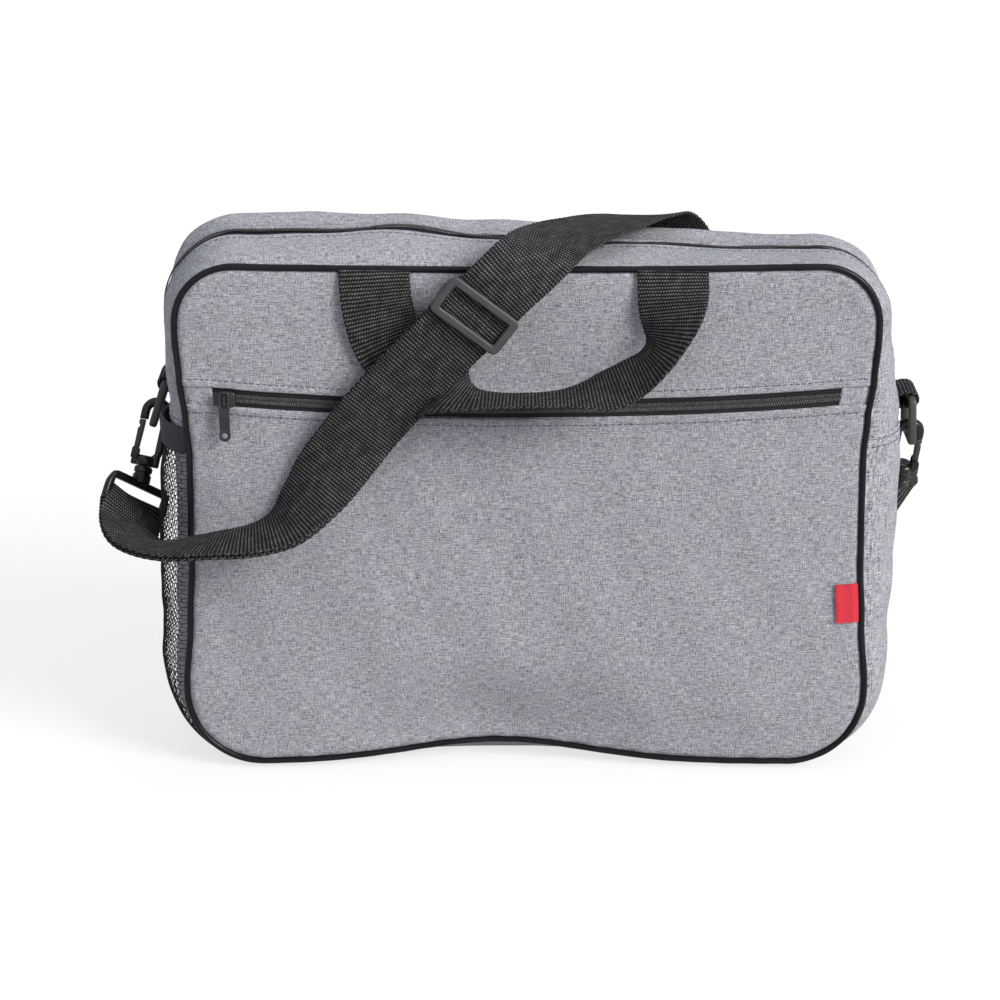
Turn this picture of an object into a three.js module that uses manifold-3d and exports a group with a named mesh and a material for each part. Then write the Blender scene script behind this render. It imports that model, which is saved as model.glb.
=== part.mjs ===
// A soft laptop bag standing on its base: millimetres, +Z up, front towards -Y,
// origin on the floor under the middle of the base.
import * as THREE from 'three';
import Module from 'manifold-3d';
import { mergeVertices } from 'three/addons/utils/BufferGeometryUtils.js';

const wasm = await Module();
wasm.setup();

// Driving dimensions of the cloth body, at the piping's centre line
const halfWidth = 190;
const baseHeight = 4.2;
const topHeight = 294.3;
const halfDepth = 40;
const topCorner = 34;
const baseCorner = 43;
const wall = 1.6;
const gap = 0.35;
const pipingRadius = 2.3;

// Front zip: its middle line at the ends, how far it droops, the band that shows and its ends
const zipLine = 221.7;
const zipDroop = 6;
const zipBand = 9.8;
const zipHalfLength = 171;

// Heights of the side seams, where the upper and lower gussets meet
const rightSeam = 196;
const leftSeam = 207;

// Webbing and the hardware that it runs through
const webWidth = 38;
const webThick = 1.6;
const webLayer = 2.3;
const tabWidth = 25;
const barThick = 4.5;
const ringLong = 36;
const ringShort = 28;
const ringRound = 3;

// How far the gusset swells past the piping at its fullest, by height up each side
const sideSwell = [
  { z: 0, left: 6, right: 12 },
  { z: 31, left: 8, right: 14 },
  { z: 74, left: 9.5, right: 17.5 },
  { z: 117, left: 10.5, right: 22 },
  { z: 147, left: 11, right: 24.5 },
  { z: 174, left: 11, right: 25 },
  { z: 205, left: 11, right: 21 },
  { z: 230, left: 10, right: 15 },
  { z: 252, left: 8, right: 10 },
  { z: 300, left: 5, right: 6 },
];

// The top along X: swell at mid depth, and how much higher the back edge stands than the front
const topShape = [
  { x: -190, swell: 4, rise: 8 },
  { x: -145, swell: 4.6, rise: 8 },
  { x: -69, swell: 8.6, rise: 5.8 },
  { x: -25, swell: 5, rise: 3.6 },
  { x: 40, swell: 3, rise: 0.6 },
  { x: 135, swell: 2, rise: -4.6 },
  { x: 190, swell: 3, rise: -5.4 },
];

// How far the sides pull in, by height
const sidePinch = [
  { z: 0, inset: 0 },
  { z: 50, inset: 0.2 },
  { z: 90, inset: 3.4 },
  { z: 126, inset: 5.4 },
  { z: 165, inset: 6.2 },
  { z: 188, inset: 6.4 },
  { z: 208, inset: 5 },
  { z: 230, inset: 2.4 },
  { z: 255, inset: 0.8 },
  { z: 300, inset: 0 },
];

// How far the net pocket stands off the left gusset, by height
const netStand = [
  { z: 0, off: 0.6 },
  { z: 25, off: 2.5 },
  { z: 70, off: 7 },
  { z: 125, off: 9 },
  { z: 165, off: 8 },
  { z: 190, off: 5 },
  { z: 210, off: 4 },
];

const baseSwell = 6;        // pushes the bottom gusset down onto the floor, where it flattens
const topSag = 2.4;         // sag of the front top edge at mid width
const dent = { x: -15, reach: 70, lift: 8.4, push: 12 };   // the pressed-in front base edge
const frontPillow = 6;
const backPillow = 5;

const { lerp, smoothstep, degToRad } = THREE.MathUtils;

// Smooth value of a table's column between its rows
function column(rows, key, name, at) {
  let row = 0;
  while (row < rows.length - 2 && at > rows[row + 1][key]) row += 1;
  const [low, high] = [rows[row], rows[row + 1]];
  return lerp(low[name], high[name], smoothstep(at, low[key], high[key]));
}

// The slump of the whole soft body: pinched sides, puffed top and pressed-in front base edge
function slump(x, y, z) {
  const across = THREE.MathUtils.clamp((y + halfDepth) / (2 * halfDepth), 0, 1);
  const front = 1 - smoothstep(y, -halfDepth, 0);
  const low = 1 - smoothstep(z, 10, 75);
  const high = smoothstep(z, 205, 285);
  const press = front * low * Math.exp(-(((x - dent.x) / dent.reach) ** 2));
  const narrow = 1 - column(sidePinch, 'z', 'inset', z) / halfWidth;
  const sag = topSag * (1 - (x / halfWidth) ** 2) * (1 - across);
  const rise = column(topShape, 'x', 'rise', x) * across;
  const height = z + high * (rise - sag) + press * dent.lift;
  return new THREE.Vector3(x * narrow, y + press * dent.push, Math.max(height, 0));
}

// Stations round the outline, each with its outward normal and its swell
function station(x, z, nx, nz) {
  const side = column(sideSwell, 'z', nx > 0 ? 'right' : 'left', z);
  const level = nz > 0 ? column(topShape, 'x', 'swell', x) : baseSwell;
  return { x, z, nx, nz, swell: nx * nx * side + nz * nz * level };
}

function corner(cx, cz, radius, from, steps) {
  const sweep = 90 / steps;
  return Array.from({ length: steps + 1 }, (_, k) => {
    const angle = degToRad(from + k * sweep);
    const [nx, nz] = [Math.cos(angle), Math.sin(angle)];
    return station(cx + radius * nx, cz + radius * nz, nx, nz);
  });
}

const sideRows = [72, 100, 128, 155, 178];
const cornerSteps = 5;
const topX = halfWidth - topCorner;
const baseX = halfWidth - baseCorner;
const topZ = topHeight - topCorner;
const baseZ = baseHeight + baseCorner;
const topRows = [118, 80, 40, 0, -40, -80, -118];
const baseRows = [-108, -72, -44, -15, 14, 44, 80, 112];

const rightLow = [...sideRows, rightSeam].map((z) => station(halfWidth, z, 1, 0));
const rightHigh = [rightSeam, 218, 240].map((z) => station(halfWidth, z, 1, 0));
const leftHigh = [240, leftSeam].map((z) => station(-halfWidth, z, -1, 0));
const leftLow = [leftSeam, ...sideRows.toReversed()].map((z) => station(-halfWidth, z, -1, 0));
const overTop = [
  ...rightHigh,
  ...corner(topX, topZ, topCorner, 0, cornerSteps),
  ...topRows.map((x) => station(x, topHeight, 0, 1)),
  ...corner(-topX, topZ, topCorner, 90, cornerSteps),
  ...leftHigh,
];
const leftBase = corner(-baseX, baseZ, baseCorner, 180, cornerSteps);
const underBase = [
  ...leftLow,
  ...leftBase,
  ...baseRows.map((x) => station(x, baseHeight, 0, -1)),
  ...corner(baseX, baseZ, baseCorner, 270, cornerSteps),
  ...rightLow,
];
const wholeLoop = [...overTop, ...underBase.slice(1, -1)];

// Geometry from points and triangles, turned so that its faces point out
function solid(points, triangles) {
  let volume = 0;
  for (const [a, b, c] of triangles) {
    volume += points[a].dot(new THREE.Vector3().crossVectors(points[b], points[c]));
  }
  const order = volume < 0 ? triangles.map(([a, b, c]) => [a, c, b]) : triangles;
  const geometry = new THREE.BufferGeometry().setFromPoints(points);
  geometry.setIndex(order.flat());
  geometry.computeVertexNormals();
  return geometry;
}

// A wall from a grid of outer points: an inner skin at the wall's thickness and a rim all round
function wallFrom(grid, thick, inward) {
  const [rows, cols] = [grid.length, grid[0].length];
  const points = grid.flat().map((p) => p.clone());
  for (let i = 0; i < rows; i += 1) {
    for (let j = 0; j < cols; j += 1) {
      const along = grid[Math.min(i + 1, rows - 1)][j].clone().sub(grid[Math.max(i - 1, 0)][j]);
      const over = grid[i][Math.min(j + 1, cols - 1)].clone().sub(grid[i][Math.max(j - 1, 0)]);
      const normal = along.cross(over).normalize().multiplyScalar(inward * thick);
      points.push(grid[i][j].clone().add(normal));
    }
  }
  const inner = rows * cols;
  const triangles = [];
  const quad = (a, b, c, d) => triangles.push([a, b, c], [a, c, d]);
  for (let i = 0; i < rows - 1; i += 1) {
    for (let j = 0; j < cols - 1; j += 1) {
      const [a, b, c, d] = [i * cols + j, (i + 1) * cols + j, (i + 1) * cols + j + 1, i * cols + j + 1];
      quad(a, b, c, d);
      quad(inner + d, inner + c, inner + b, inner + a);
    }
  }
  const rim = [];
  for (let j = 0; j < cols - 1; j += 1) rim.push(j);
  for (let i = 0; i < rows - 1; i += 1) rim.push(i * cols + cols - 1);
  for (let j = cols - 1; j > 0; j -= 1) rim.push((rows - 1) * cols + j);
  for (let i = rows - 1; i > 0; i -= 1) rim.push(i * cols);
  rim.forEach((a, k) => {
    const b = rim[(k + 1) % rim.length];
    quad(a, b, inner + b, inner + a);
  });
  return solid(points, triangles);
}

// Rings of points joined in turn, closed round or capped at both ends. Each facet folds on the
// diagonal that lies further this way, so that the skins of a twisted ribbon fold alike
const foldWay = new THREE.Vector3(0.4, 1, 0.6);

function loft(rings, closed) {
  const sides = rings[0].length;
  const points = rings.flat();
  const reach = (p, q) => points[p].dot(foldWay) + points[q].dot(foldWay);
  const triangles = [];
  const last = closed ? rings.length : rings.length - 1;
  for (let i = 0; i < last; i += 1) {
    const next = (i + 1) % rings.length;
    for (let k = 0; k < sides; k += 1) {
      const turn = (k + 1) % sides;
      const [a, b, c, d] = [i * sides + k, next * sides + k, next * sides + turn, i * sides + turn];
      if (reach(a, c) > reach(b, d)) triangles.push([a, b, c], [a, c, d]);
      else triangles.push([a, b, d], [b, c, d]);
    }
  }
  if (!closed) {
    const end = (rings.length - 1) * sides;
    for (let k = 1; k < sides - 1; k += 1) {
      triangles.push([0, k, k + 1], [end, end + k + 1, end + k]);
    }
  }
  return solid(points, triangles);
}

// Boolean joins and cuts
function toManifold(geometry) {
  const bare = geometry.clone();
  for (const name of ['normal', 'uv']) bare.deleteAttribute(name);
  const merged = mergeVertices(bare, 1e-4);
  const mesh = new wasm.Mesh({
    numProp: 3,
    vertProperties: new Float32Array(merged.attributes.position.array),
    triVerts: new Uint32Array(merged.index.array),
  });
  return new wasm.Manifold(mesh);
}

function toGeometry(manifold) {
  const mesh = manifold.getMesh();
  const geometry = new THREE.BufferGeometry();
  geometry.setAttribute('position', new THREE.BufferAttribute(new Float32Array(mesh.vertProperties), 3));
  geometry.setIndex(new THREE.BufferAttribute(new Uint32Array(mesh.triVerts), 1));
  geometry.computeVertexNormals();
  return geometry;
}

const join = (...parts) => toGeometry(parts.map(toManifold).reduce((a, b) => a.add(b)));
const cut = (part, cutter) => toGeometry(toManifold(part).subtract(toManifold(cutter)));

// Materials
const finish = (color, roughness, metalness = 0) =>
  new THREE.MeshStandardMaterial({ color, roughness, metalness });
const heather = finish(0xa3a5ad, 0.95);
const vinyl = finish(0x3a3a3d, 0.4);
const webbingBlack = finish(0x26262a, 0.85);
const netBlack = finish(0x2a2a2e, 0.8);
const elastic = finish(0x44444a, 0.9);
const zipBlack = finish(0x2c2c30, 0.7);
const zipMetal = finish(0x3c3d40, 0.45, 0.7);
const plasticGrey = finish(0x55565a, 0.5);
const plasticBlack = finish(0x18181a, 0.4);
const labelRed = finish(0xc01f35, 0.85);

const bag = new THREE.Group();

function add(name, geometry, material) {
  const mesh = new THREE.Mesh(geometry, material);
  mesh.name = name;
  bag.add(mesh);
}

// Gusset: the point at a station, a share of the depth, and a stand-off from the cloth
const gussetEdge = pipingRadius + gap;

function gussetPoint(at, share, off = 0) {
  const full = Math.sin(Math.PI * share ** 0.7) ** 0.8;
  const out = at.swell * (Number.isFinite(full) ? full : 0) + off;
  const y = lerp(-halfDepth + gussetEdge, halfDepth - gussetEdge, share);
  return slump(at.x + at.nx * out, y, at.z + at.nz * out);
}

// The first and last stations step back half a gap where two gussets meet at a seam
function gussetStrip(stations, shares, thick, off = () => 0) {
  const grid = stations.map((at) => shares.map((share) => gussetPoint(at, share, off(at, share))));
  return wallFrom(grid, thick, 1);
}

const seamStep = (stations, first, last) => stations.map((at, k) => {
  const shift = k === 0 ? first : k === stations.length - 1 ? last : 0;
  return { ...at, z: at.z + shift };
});

const lowerStations = seamStep(underBase, -gap, -gap);
const lowerShares = [0, 0.07, 0.2, 0.37, 0.55, 0.75, 0.92, 1];
add('gusset_lower', gussetStrip(lowerStations, lowerShares, wall), heather);

const zipSplit = { front: 0.43, frontTape: 0.439, backTape: 0.561, back: 0.57 };
const frontShares = [0, 0.08, 0.24, zipSplit.front];
const backShares = [zipSplit.back, 0.76, 0.92, 1];
add('gusset_top_front', gussetStrip(overTop, frontShares, wall), heather);
add('gusset_top_back', gussetStrip(overTop, backShares, wall), heather);

// Main zip: a tape between the two upper gussets, raised where the coil runs
const coilHeight = 1.1;
const coilShares = [zipSplit.frontTape, 0.48, 0.49, 0.51, 0.52, zipSplit.backTape];
const onCoil = (at, share) => (Math.abs(share - 0.5) < 0.015 ? coilHeight : 0);
add('main_zip', gussetStrip(overTop, coilShares, wall, onCoil), zipBlack);

// Piping: a round cord along each rim of the body
const pipingSides = 6;

function pipingLoop(y) {
  const rings = wholeLoop.map((at) => Array.from({ length: pipingSides }, (_, k) => {
    const angle = (2 * Math.PI * k) / pipingSides;
    const out = pipingRadius * Math.cos(angle);
    return slump(at.x + at.nx * out, y + pipingRadius * Math.sin(angle), at.z + at.nz * out);
  }));
  return loft(rings, true);
}

add('piping_front', pipingLoop(-halfDepth), vinyl);
add('piping_back', pipingLoop(halfDepth), vinyl);

// Front and back panels, inside the piping
const rim = pipingRadius + 2 * gap;
const rimWidth = halfWidth - rim;

function cornerDrop(x, radius) {
  const into = Math.abs(x) - (rimWidth - radius);
  return into <= 0 ? 0 : radius - Math.sqrt(Math.max(radius * radius - into * into, 0));
}

const topEdge = (x) => topHeight - rim - cornerDrop(x, topCorner - rim);
const baseEdge = (x) => baseHeight + rim + cornerDrop(x, baseCorner - rim);
const zipMiddle = (x) => zipLine - zipDroop * Math.max(1 - (x / zipHalfLength) ** 2, 0);

const rimSteps = 5;
const rimColumns = Array.from({ length: rimSteps + 1 }, (_, k) => {
  const angle = degToRad(90 - (90 * k) / rimSteps);
  return rimWidth - (baseCorner - rim) * (1 - Math.cos(angle));
});
const innerColumns = [-115, -80, -45, -15, 15, 45, 80, 115];
const panelColumns = [...rimColumns.map((x) => -x).toReversed(), ...innerColumns, ...rimColumns];

// One face of the body: swollen like a pillow, with its outer skin just proud of the rim
function panelPoint(x, z, facing, pillow) {
  const across = 1 - (x / halfWidth) ** 4;
  const up = Math.sin((Math.PI * (z - baseHeight)) / (topHeight - baseHeight)) ** 0.7;
  return slump(x, facing * (halfDepth + wall / 2 + pillow * across * up), z);
}

function panel(columns, low, high, rows, facing, pillow) {
  const grid = columns.map((x) => Array.from({ length: rows + 1 }, (_, k) =>
    panelPoint(x, lerp(low(x), high(x), k / rows), facing, pillow)));
  return wallFrom(grid, wall, facing);
}

const bandTop = (x) => zipMiddle(x) + zipBand / 2;
const bandBase = (x) => zipMiddle(x) - zipBand / 2;
add('front_upper', panel(panelColumns, bandTop, topEdge, 4, -1, frontPillow), heather);
add('front_lower', panel(panelColumns, baseEdge, bandBase, 9, -1, frontPillow), heather);
add('back_panel', panel(panelColumns, baseEdge, topEdge, 10, 1, backPillow), heather);

// Pocket zip: the tape and coil between the two front panels, with a cloth tab at each end
const tapeColumns = [-zipHalfLength, -140, -105, -70, -35, 0, 35, 70, 105, 140, zipHalfLength];
const inTop = (x) => bandTop(x) - gap;
const inBase = (x) => bandBase(x) + gap;
add('pocket_zip', panel(tapeColumns, inBase, inTop, 2, -1, frontPillow), zipBlack);
const tabStart = zipHalfLength + gap;
add('zip_tab_left', panel([-rimWidth, -tabStart], inBase, inTop, 2, -1, frontPillow), heather);
add('zip_tab_right', panel([tabStart, rimWidth], inBase, inTop, 2, -1, frontPillow), heather);

// Net pocket on the left gusset, open at the top under its bound edge
const netTop = 188;
const bindingTop = 203;
const netShares = [0.03, 0.16, 0.3, 0.44, 0.58, 0.72, 0.86, 0.97];
const netOff = (extra) => (at, share) =>
  1.4 * gap + extra + at.nx * at.nx * column(netStand, 'z', 'off', at.z) * Math.sin(Math.PI * share ** 0.7);
const netWall = 1.2;
const netStations = [
  ...[netTop, 165, 140, 115, 90, 68].map((z) => station(-halfWidth, z, -1, 0)),
  ...leftBase.slice(0, 4),
];
add('mesh_pocket', gussetStrip(netStations, netShares, netWall, netOff(netWall)), netBlack);
const bindingStations = [bindingTop, 196, netTop + gap].map((z) => station(-halfWidth, z, -1, 0));
const bindingWall = 2.2;
add('mesh_binding', gussetStrip(bindingStations, netShares, bindingWall, netOff(bindingWall)), elastic);

// Label: a small folded tag caught under the right piping, lying on the front panel
const label = { left: 172.4, right: 186.5, low: 90, high: 113, thick: 0.9 };
const labelGrid = [label.left, (label.left + label.right) / 2, label.right].map((x) =>
  [label.low, (label.low + label.high) / 2, label.high].map((z) => {
    const point = panelPoint(x, z, -1, frontPillow);
    return point.setY(point.y - gap - label.thick);
  }));
add('label_tag', wallFrom(labelGrid, label.thick, -1), labelRed);

// Ribbons of webbing: a route of hand-set rows, each a centre and the way the width points
function ribbonFrames(rows, perRow) {
  const centre = new THREE.CatmullRomCurve3(rows.map((r) => new THREE.Vector3(r.x, r.y, r.z)));
  const width = new THREE.CatmullRomCurve3(rows.map((r) => new THREE.Vector3(r.wx, r.wy, r.wz)));
  const steps = (rows.length - 1) * perRow;
  return Array.from({ length: steps + 1 }, (_, k) => {
    const share = k / steps;
    const tangent = centre.getTangent(share);
    const across = width.getPoint(share);
    across.addScaledVector(tangent, -across.dot(tangent)).normalize();
    const normal = new THREE.Vector3().crossVectors(tangent, across);
    return { point: centre.getPoint(share), across, normal };
  });
}

function ribbonSection({ point, across, normal }, width, thick) {
  const corners = [[-1, -1], [1, -1], [1, 1], [-1, 1]];
  return corners.map(([side, face]) => point.clone()
    .addScaledVector(across, (side * width) / 2)
    .addScaledVector(normal, (face * thick) / 2));
}

const ribbon = (frames) => loft(frames.map((f) => ribbonSection(f, webWidth, webThick)), false);

// Handle: both ends caught under the front piping, hanging in a U that turns flat at the bottom
const handleRoute = [
  { x: -81.3, y: -43.0, z: 289.0, wx: 1, wy: 0, wz: 0 },
  { x: -79.5, y: -47.2, z: 272.0, wx: 1, wy: 0, wz: 0.05 },
  { x: -74.0, y: -48.8, z: 254.0, wx: 0.93, wy: 0, wz: 0.36 },
  { x: -63.0, y: -49.2, z: 239.0, wx: 0.74, wy: 0.02, wz: 0.67 },
  { x: -47.0, y: -51.2, z: 228.5, wx: 0.4, wy: 0.2, wz: 0.9 },
  { x: -35.0, y: -62.2, z: 225.0, wx: 0.15, wy: 0.8, wz: 0.55 },
  { x: -21.0, y: -67.0, z: 224.3, wx: 0.04, wy: 0.99, wz: 0.06 },
  { x: -3.0, y: -67.6, z: 225.2, wx: 0, wy: 0.99, wz: -0.06 },
  { x: 15.0, y: -67.6, z: 226.8, wx: -0.04, wy: 1, wz: 0 },
  { x: 30.0, y: -67.4, z: 229.5, wx: -0.1, wy: 0.99, wz: 0.1 },
  { x: 43.0, y: -66.8, z: 233.0, wx: -0.18, wy: 0.95, wz: 0.25 },
  { x: 54.5, y: -66.2, z: 238.3, wx: -0.22, wy: 0.94, wz: 0.24 },
  { x: 65.0, y: -66.0, z: 246.0, wx: -0.28, wy: 0.95, wz: 0.08 },
  { x: 72.5, y: -64.0, z: 256.0, wx: -0.46, wy: 0.88, wz: -0.1 },
  { x: 76.4, y: -58.8, z: 267.3, wx: -0.76, wy: 0.64, wz: -0.1 },
  { x: 77.6, y: -50.2, z: 278.5, wx: -0.96, wy: 0.28, wz: 0 },
  { x: 77.7, y: -43.0, z: 288.6, wx: -1, wy: 0, wz: 0 },
];
add('handle', ribbon(ribbonFrames(handleRoute, 3)), webbingBlack);

// Shoulder strap from the left hook, up across the front, over the top and down the back
const strapRoute = [
  { x: -221.0, y: -22.0, z: 141.0, wx: 0.55, wy: 0.7, wz: -0.45 },
  { x: -212.0, y: -47.0, z: 140.5, wx: 0.35, wy: 0.9, wz: -0.25 },
  { x: -192.0, y: -63.0, z: 143.0, wx: 0.15, wy: 0.98, wz: -0.1 },
  { x: -168.0, y: -68.0, z: 147.0, wx: 0.06, wy: 1, wz: -0.02 },
  { x: -147.5, y: -68.0, z: 149.8, wx: -0.14, wy: 0.98, wz: 0.05 },
  { x: -131.5, y: -66.0, z: 156.0, wx: -0.45, wy: 0.87, wz: 0.12 },
  { x: -118.5, y: -62.5, z: 169.5, wx: -0.6, wy: 0.7, wz: 0.36 },
  { x: -104.5, y: -58.2, z: 187.0, wx: -0.72, wy: 0.3, wz: 0.6 },
  { x: -83.0, y: -58.5, z: 214.2, wx: -0.75, wy: 0, wz: 0.66 },
  { x: -57.0, y: -60.0, z: 243.0, wx: -0.73, wy: 0, wz: 0.68 },
  { x: -28.0, y: -60.0, z: 273.1, wx: -0.72, wy: 0, wz: 0.69 },
  { x: -9.0, y: -58.5, z: 292.0, wx: -0.73, wy: 0.02, wz: 0.68 },
  { x: 4.0, y: -49, z: 301.5, wx: -0.72, wy: 0.34, wz: 0.57 },
  { x: 16.0, y: -30, z: 305.5, wx: -0.71, wy: 0.62, wz: 0.3 },
  { x: 33.0, y: -10, z: 307.0, wx: -0.73, wy: 0.67, wz: 0.1 },
  { x: 50.0, y: 10, z: 306.0, wx: -0.74, wy: 0.66, wz: 0 },
  { x: 66.0, y: 31, z: 303.0, wx: -0.74, wy: 0.62, wz: -0.18 },
  { x: 78.0, y: 48, z: 294.0, wx: -0.74, wy: 0.42, wz: -0.5 },
  { x: 88.0, y: 54, z: 279.0, wx: -0.78, wy: 0.08, wz: -0.62 },
  { x: 101.0, y: 56, z: 255.0, wx: -0.84, wy: 0.04, wz: -0.54 },
  { x: 112.0, y: 58, z: 226.0, wx: -0.88, wy: 0.1, wz: -0.46 },
  { x: 121.0, y: 61, z: 198.0, wx: -0.87, wy: 0.25, wz: -0.42 },
  { x: 134.0, y: 66.5, z: 173.0, wx: -0.66, wy: 0.66, wz: -0.36 },
  { x: 151.0, y: 71, z: 156.0, wx: -0.3, wy: 0.94, wz: -0.16 },
  { x: 171.0, y: 72, z: 147.0, wx: 0, wy: 1, wz: 0 },
  { x: 188.5, y: 67.5, z: 141.5, wx: 0.27, wy: 0.94, wz: 0.16 },
  { x: 202.5, y: 55.5, z: 138.0, wx: 0.46, wy: 0.78, wz: 0.4 },
];

// Side hardware: the ring's lower bar, which way the hook and its strap loop point
const sides = {
  left: {
    out: -1,
    tabReach: 13.5,
    ringBase: new THREE.Vector3(-208.5, 22, 190),
    ringTop: new THREE.Vector3(-201.3, 22, 212.4),
    hookUp: new THREE.Vector3(0.2, 0.42, 0.885).normalize(),
    loopAlong: new THREE.Vector3(0.6, 0.58, -0.55).normalize(),
  },
  right: {
    out: 1,
    tabReach: 18.5,
    ringBase: new THREE.Vector3(215.5, 14, 182.2),
    ringTop: new THREE.Vector3(214.5, 14, 205.7),
    hookUp: new THREE.Vector3(0.05, -0.42, 0.905).normalize(),
    loopAlong: new THREE.Vector3(0.52, 0.72, 0.44).normalize(),
  },
};

// Snap hook, in its own plane: collar at the bottom, spine, nose over the top, gate opposite
const hook = {
  thick: 5, collarHalf: 8, collarHeight: 6, shoulder: 4, spineIn: 4.4, spineOut: 9.2,
  noseX: 0.6, noseZ: 31, noseOut: 8.6, noseIn: 3.8, tipZ: 26.2,
};
const gate = { out: -7.8, inside: -5, heel: 1.2, lip: 0.6, lipHeight: 4, depth: 4.2 };
const barDrop = 1.4;        // the ring's bar hangs this far under the nose's curve
const swivel = { radius: 5.2, length: 10.5 };
const strapLoop = {
  topHalf: 20.5, baseHalf: 24, bar: 4.4, slotHalf: 19.7, slotHeight: 8, thick: 4.2, chamfer: 2,
};

const frameAt = (origin, xAxis, yAxis, zAxis) =>
  new THREE.Matrix4().makeBasis(xAxis, yAxis, zAxis).setPosition(origin);

function plate(shape, thick) {
  const geometry = new THREE.ExtrudeGeometry(shape, { depth: thick, bevelEnabled: false, curveSegments: 5 });
  return geometry.translate(0, 0, -thick / 2);
}

function rectangle(halfLong, halfShort, holeLong, holeShort, round) {
  const [a, b] = [halfLong, halfShort];
  const shape = new THREE.Shape([
    [-a + round, -b], [a - round, -b], [a, -b + round], [a, b - round],
    [a - round, b], [-a + round, b], [-a, b - round], [-a, -b + round],
  ].map(([x, y]) => new THREE.Vector2(x, y)));
  const hole = [[-holeLong, -holeShort], [-holeLong, holeShort], [holeLong, holeShort], [holeLong, -holeShort]];
  shape.holes.push(new THREE.Path(hole.map(([x, y]) => new THREE.Vector2(x, y))));
  return shape;
}

function hookShape() {
  const shape = new THREE.Shape();
  const inner = hook.noseX - hook.noseIn;
  shape.moveTo(-hook.collarHalf, 0);
  shape.lineTo(hook.collarHalf, 0);
  shape.lineTo(hook.collarHalf, hook.collarHeight);
  shape.lineTo(hook.spineOut, hook.collarHeight + hook.shoulder);
  shape.lineTo(hook.spineOut, hook.noseZ);
  shape.absarc(hook.noseX, hook.noseZ, hook.noseOut, 0, Math.PI, false);
  shape.lineTo(hook.noseX - hook.noseOut, hook.tipZ);
  shape.lineTo(inner, hook.tipZ);
  shape.lineTo(inner, hook.noseZ);
  shape.absarc(hook.noseX, hook.noseZ, hook.noseIn, Math.PI, 0, true);
  shape.lineTo(hook.spineIn, hook.collarHeight);
  shape.lineTo(-hook.collarHalf, hook.collarHeight);
  return shape;
}

function hookFrame(side) {
  const inwards = new THREE.Vector3(-side.out, 0, 0);
  inwards.addScaledVector(side.hookUp, -inwards.dot(side.hookUp)).normalize();
  const origin = side.ringBase.clone()
    .addScaledVector(inwards, -hook.noseX)
    .addScaledVector(side.hookUp, -(hook.noseZ - barDrop));
  const through = new THREE.Vector3().crossVectors(inwards, side.hookUp);
  return { origin, inwards, through, matrix: frameAt(origin, inwards, side.hookUp, through) };
}

function strapLoopFrame(side) {
  const { origin } = hookFrame(side);
  const down = side.hookUp.clone().negate();
  down.addScaledVector(side.loopAlong, -down.dot(side.loopAlong)).normalize();
  const top = origin.clone().addScaledVector(side.hookUp, -swivel.length - gap);
  const facing = new THREE.Vector3().crossVectors(side.loopAlong, down);
  const barAt = strapLoop.bar / 2 + strapLoop.slotHeight + strapLoop.bar / 2;
  const base = top.clone().addScaledVector(down, barAt);
  return { top, base, down, facing, matrix: frameAt(top, side.loopAlong, down, facing) };
}

function strapLoopShape() {
  const { topHalf, baseHalf, bar, slotHalf, slotHeight, chamfer } = strapLoop;
  const [high, low] = [-bar / 2, bar * 1.5 + slotHeight];
  const outline = [[-topHalf, high], [topHalf, high], [baseHalf, bar], [baseHalf, low - chamfer],
    [baseHalf - chamfer, low], [chamfer - baseHalf, low], [-baseHalf, low - chamfer], [-baseHalf, bar]];
  const slot = [[-slotHalf, bar / 2], [-slotHalf, bar / 2 + slotHeight],
    [slotHalf, bar / 2 + slotHeight], [slotHalf, bar / 2]];
  const shape = new THREE.Shape(outline.map(([x, y]) => new THREE.Vector2(x, y)));
  shape.holes.push(new THREE.Path(slot.map(([x, y]) => new THREE.Vector2(x, y))));
  return shape;
}

const tabEnd = 0.5;         // height of the tab's tapered end above the ring's bar
const tabCut = 12;          // depth of cloth and hollow that the tab is cut back from

// A tab of folded webbing round the ring's top bar, cut back to the gusset that it is sewn on
function ringTab(side) {
  const hole = barThick * 0.5 * Math.SQRT2 + gap;
  const round = hole + webThick;
  const shape = new THREE.Shape();
  shape.moveTo(-side.tabReach, -round);
  shape.lineTo(0, -round);
  shape.absarc(0, 0, round, -Math.PI / 2, Math.PI / 2, false);
  shape.lineTo(-side.tabReach, tabEnd);
  shape.holes.push(new THREE.Path().absarc(0, 0, hole, 0, 2 * Math.PI, true));
  const along = new THREE.Vector3(0, -side.out, 0);
  const geometry = plate(shape, tabWidth).applyMatrix4(
    frameAt(side.ringTop, new THREE.Vector3(side.out, 0, 0), new THREE.Vector3(0, 0, 1), along));
  const near = side.out > 0 ? [196, 205, 218, 240] : [240, 218, 207, 196];
  const body = near.map((z) => station(side.out * halfWidth, z, side.out, 0));
  const depths = [0.37, 0.46, 0.55, 0.65, 0.75, 0.84, 0.92, 1];
  return cut(geometry, gussetStrip(body, depths, tabCut, () => gap));
}

function ringGeometry(side) {
  const upwards = side.ringTop.clone().sub(side.ringBase).normalize();
  const along = new THREE.Vector3(0, 1, 0);
  const middle = side.ringTop.clone().add(side.ringBase).multiplyScalar(0.5);
  const shape = rectangle(ringLong / 2, ringShort / 2,
    ringLong / 2 - barThick, ringShort / 2 - barThick, ringRound);
  return plate(shape, barThick).applyMatrix4(
    frameAt(middle, along, upwards, new THREE.Vector3().crossVectors(along, upwards)));
}

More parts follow.
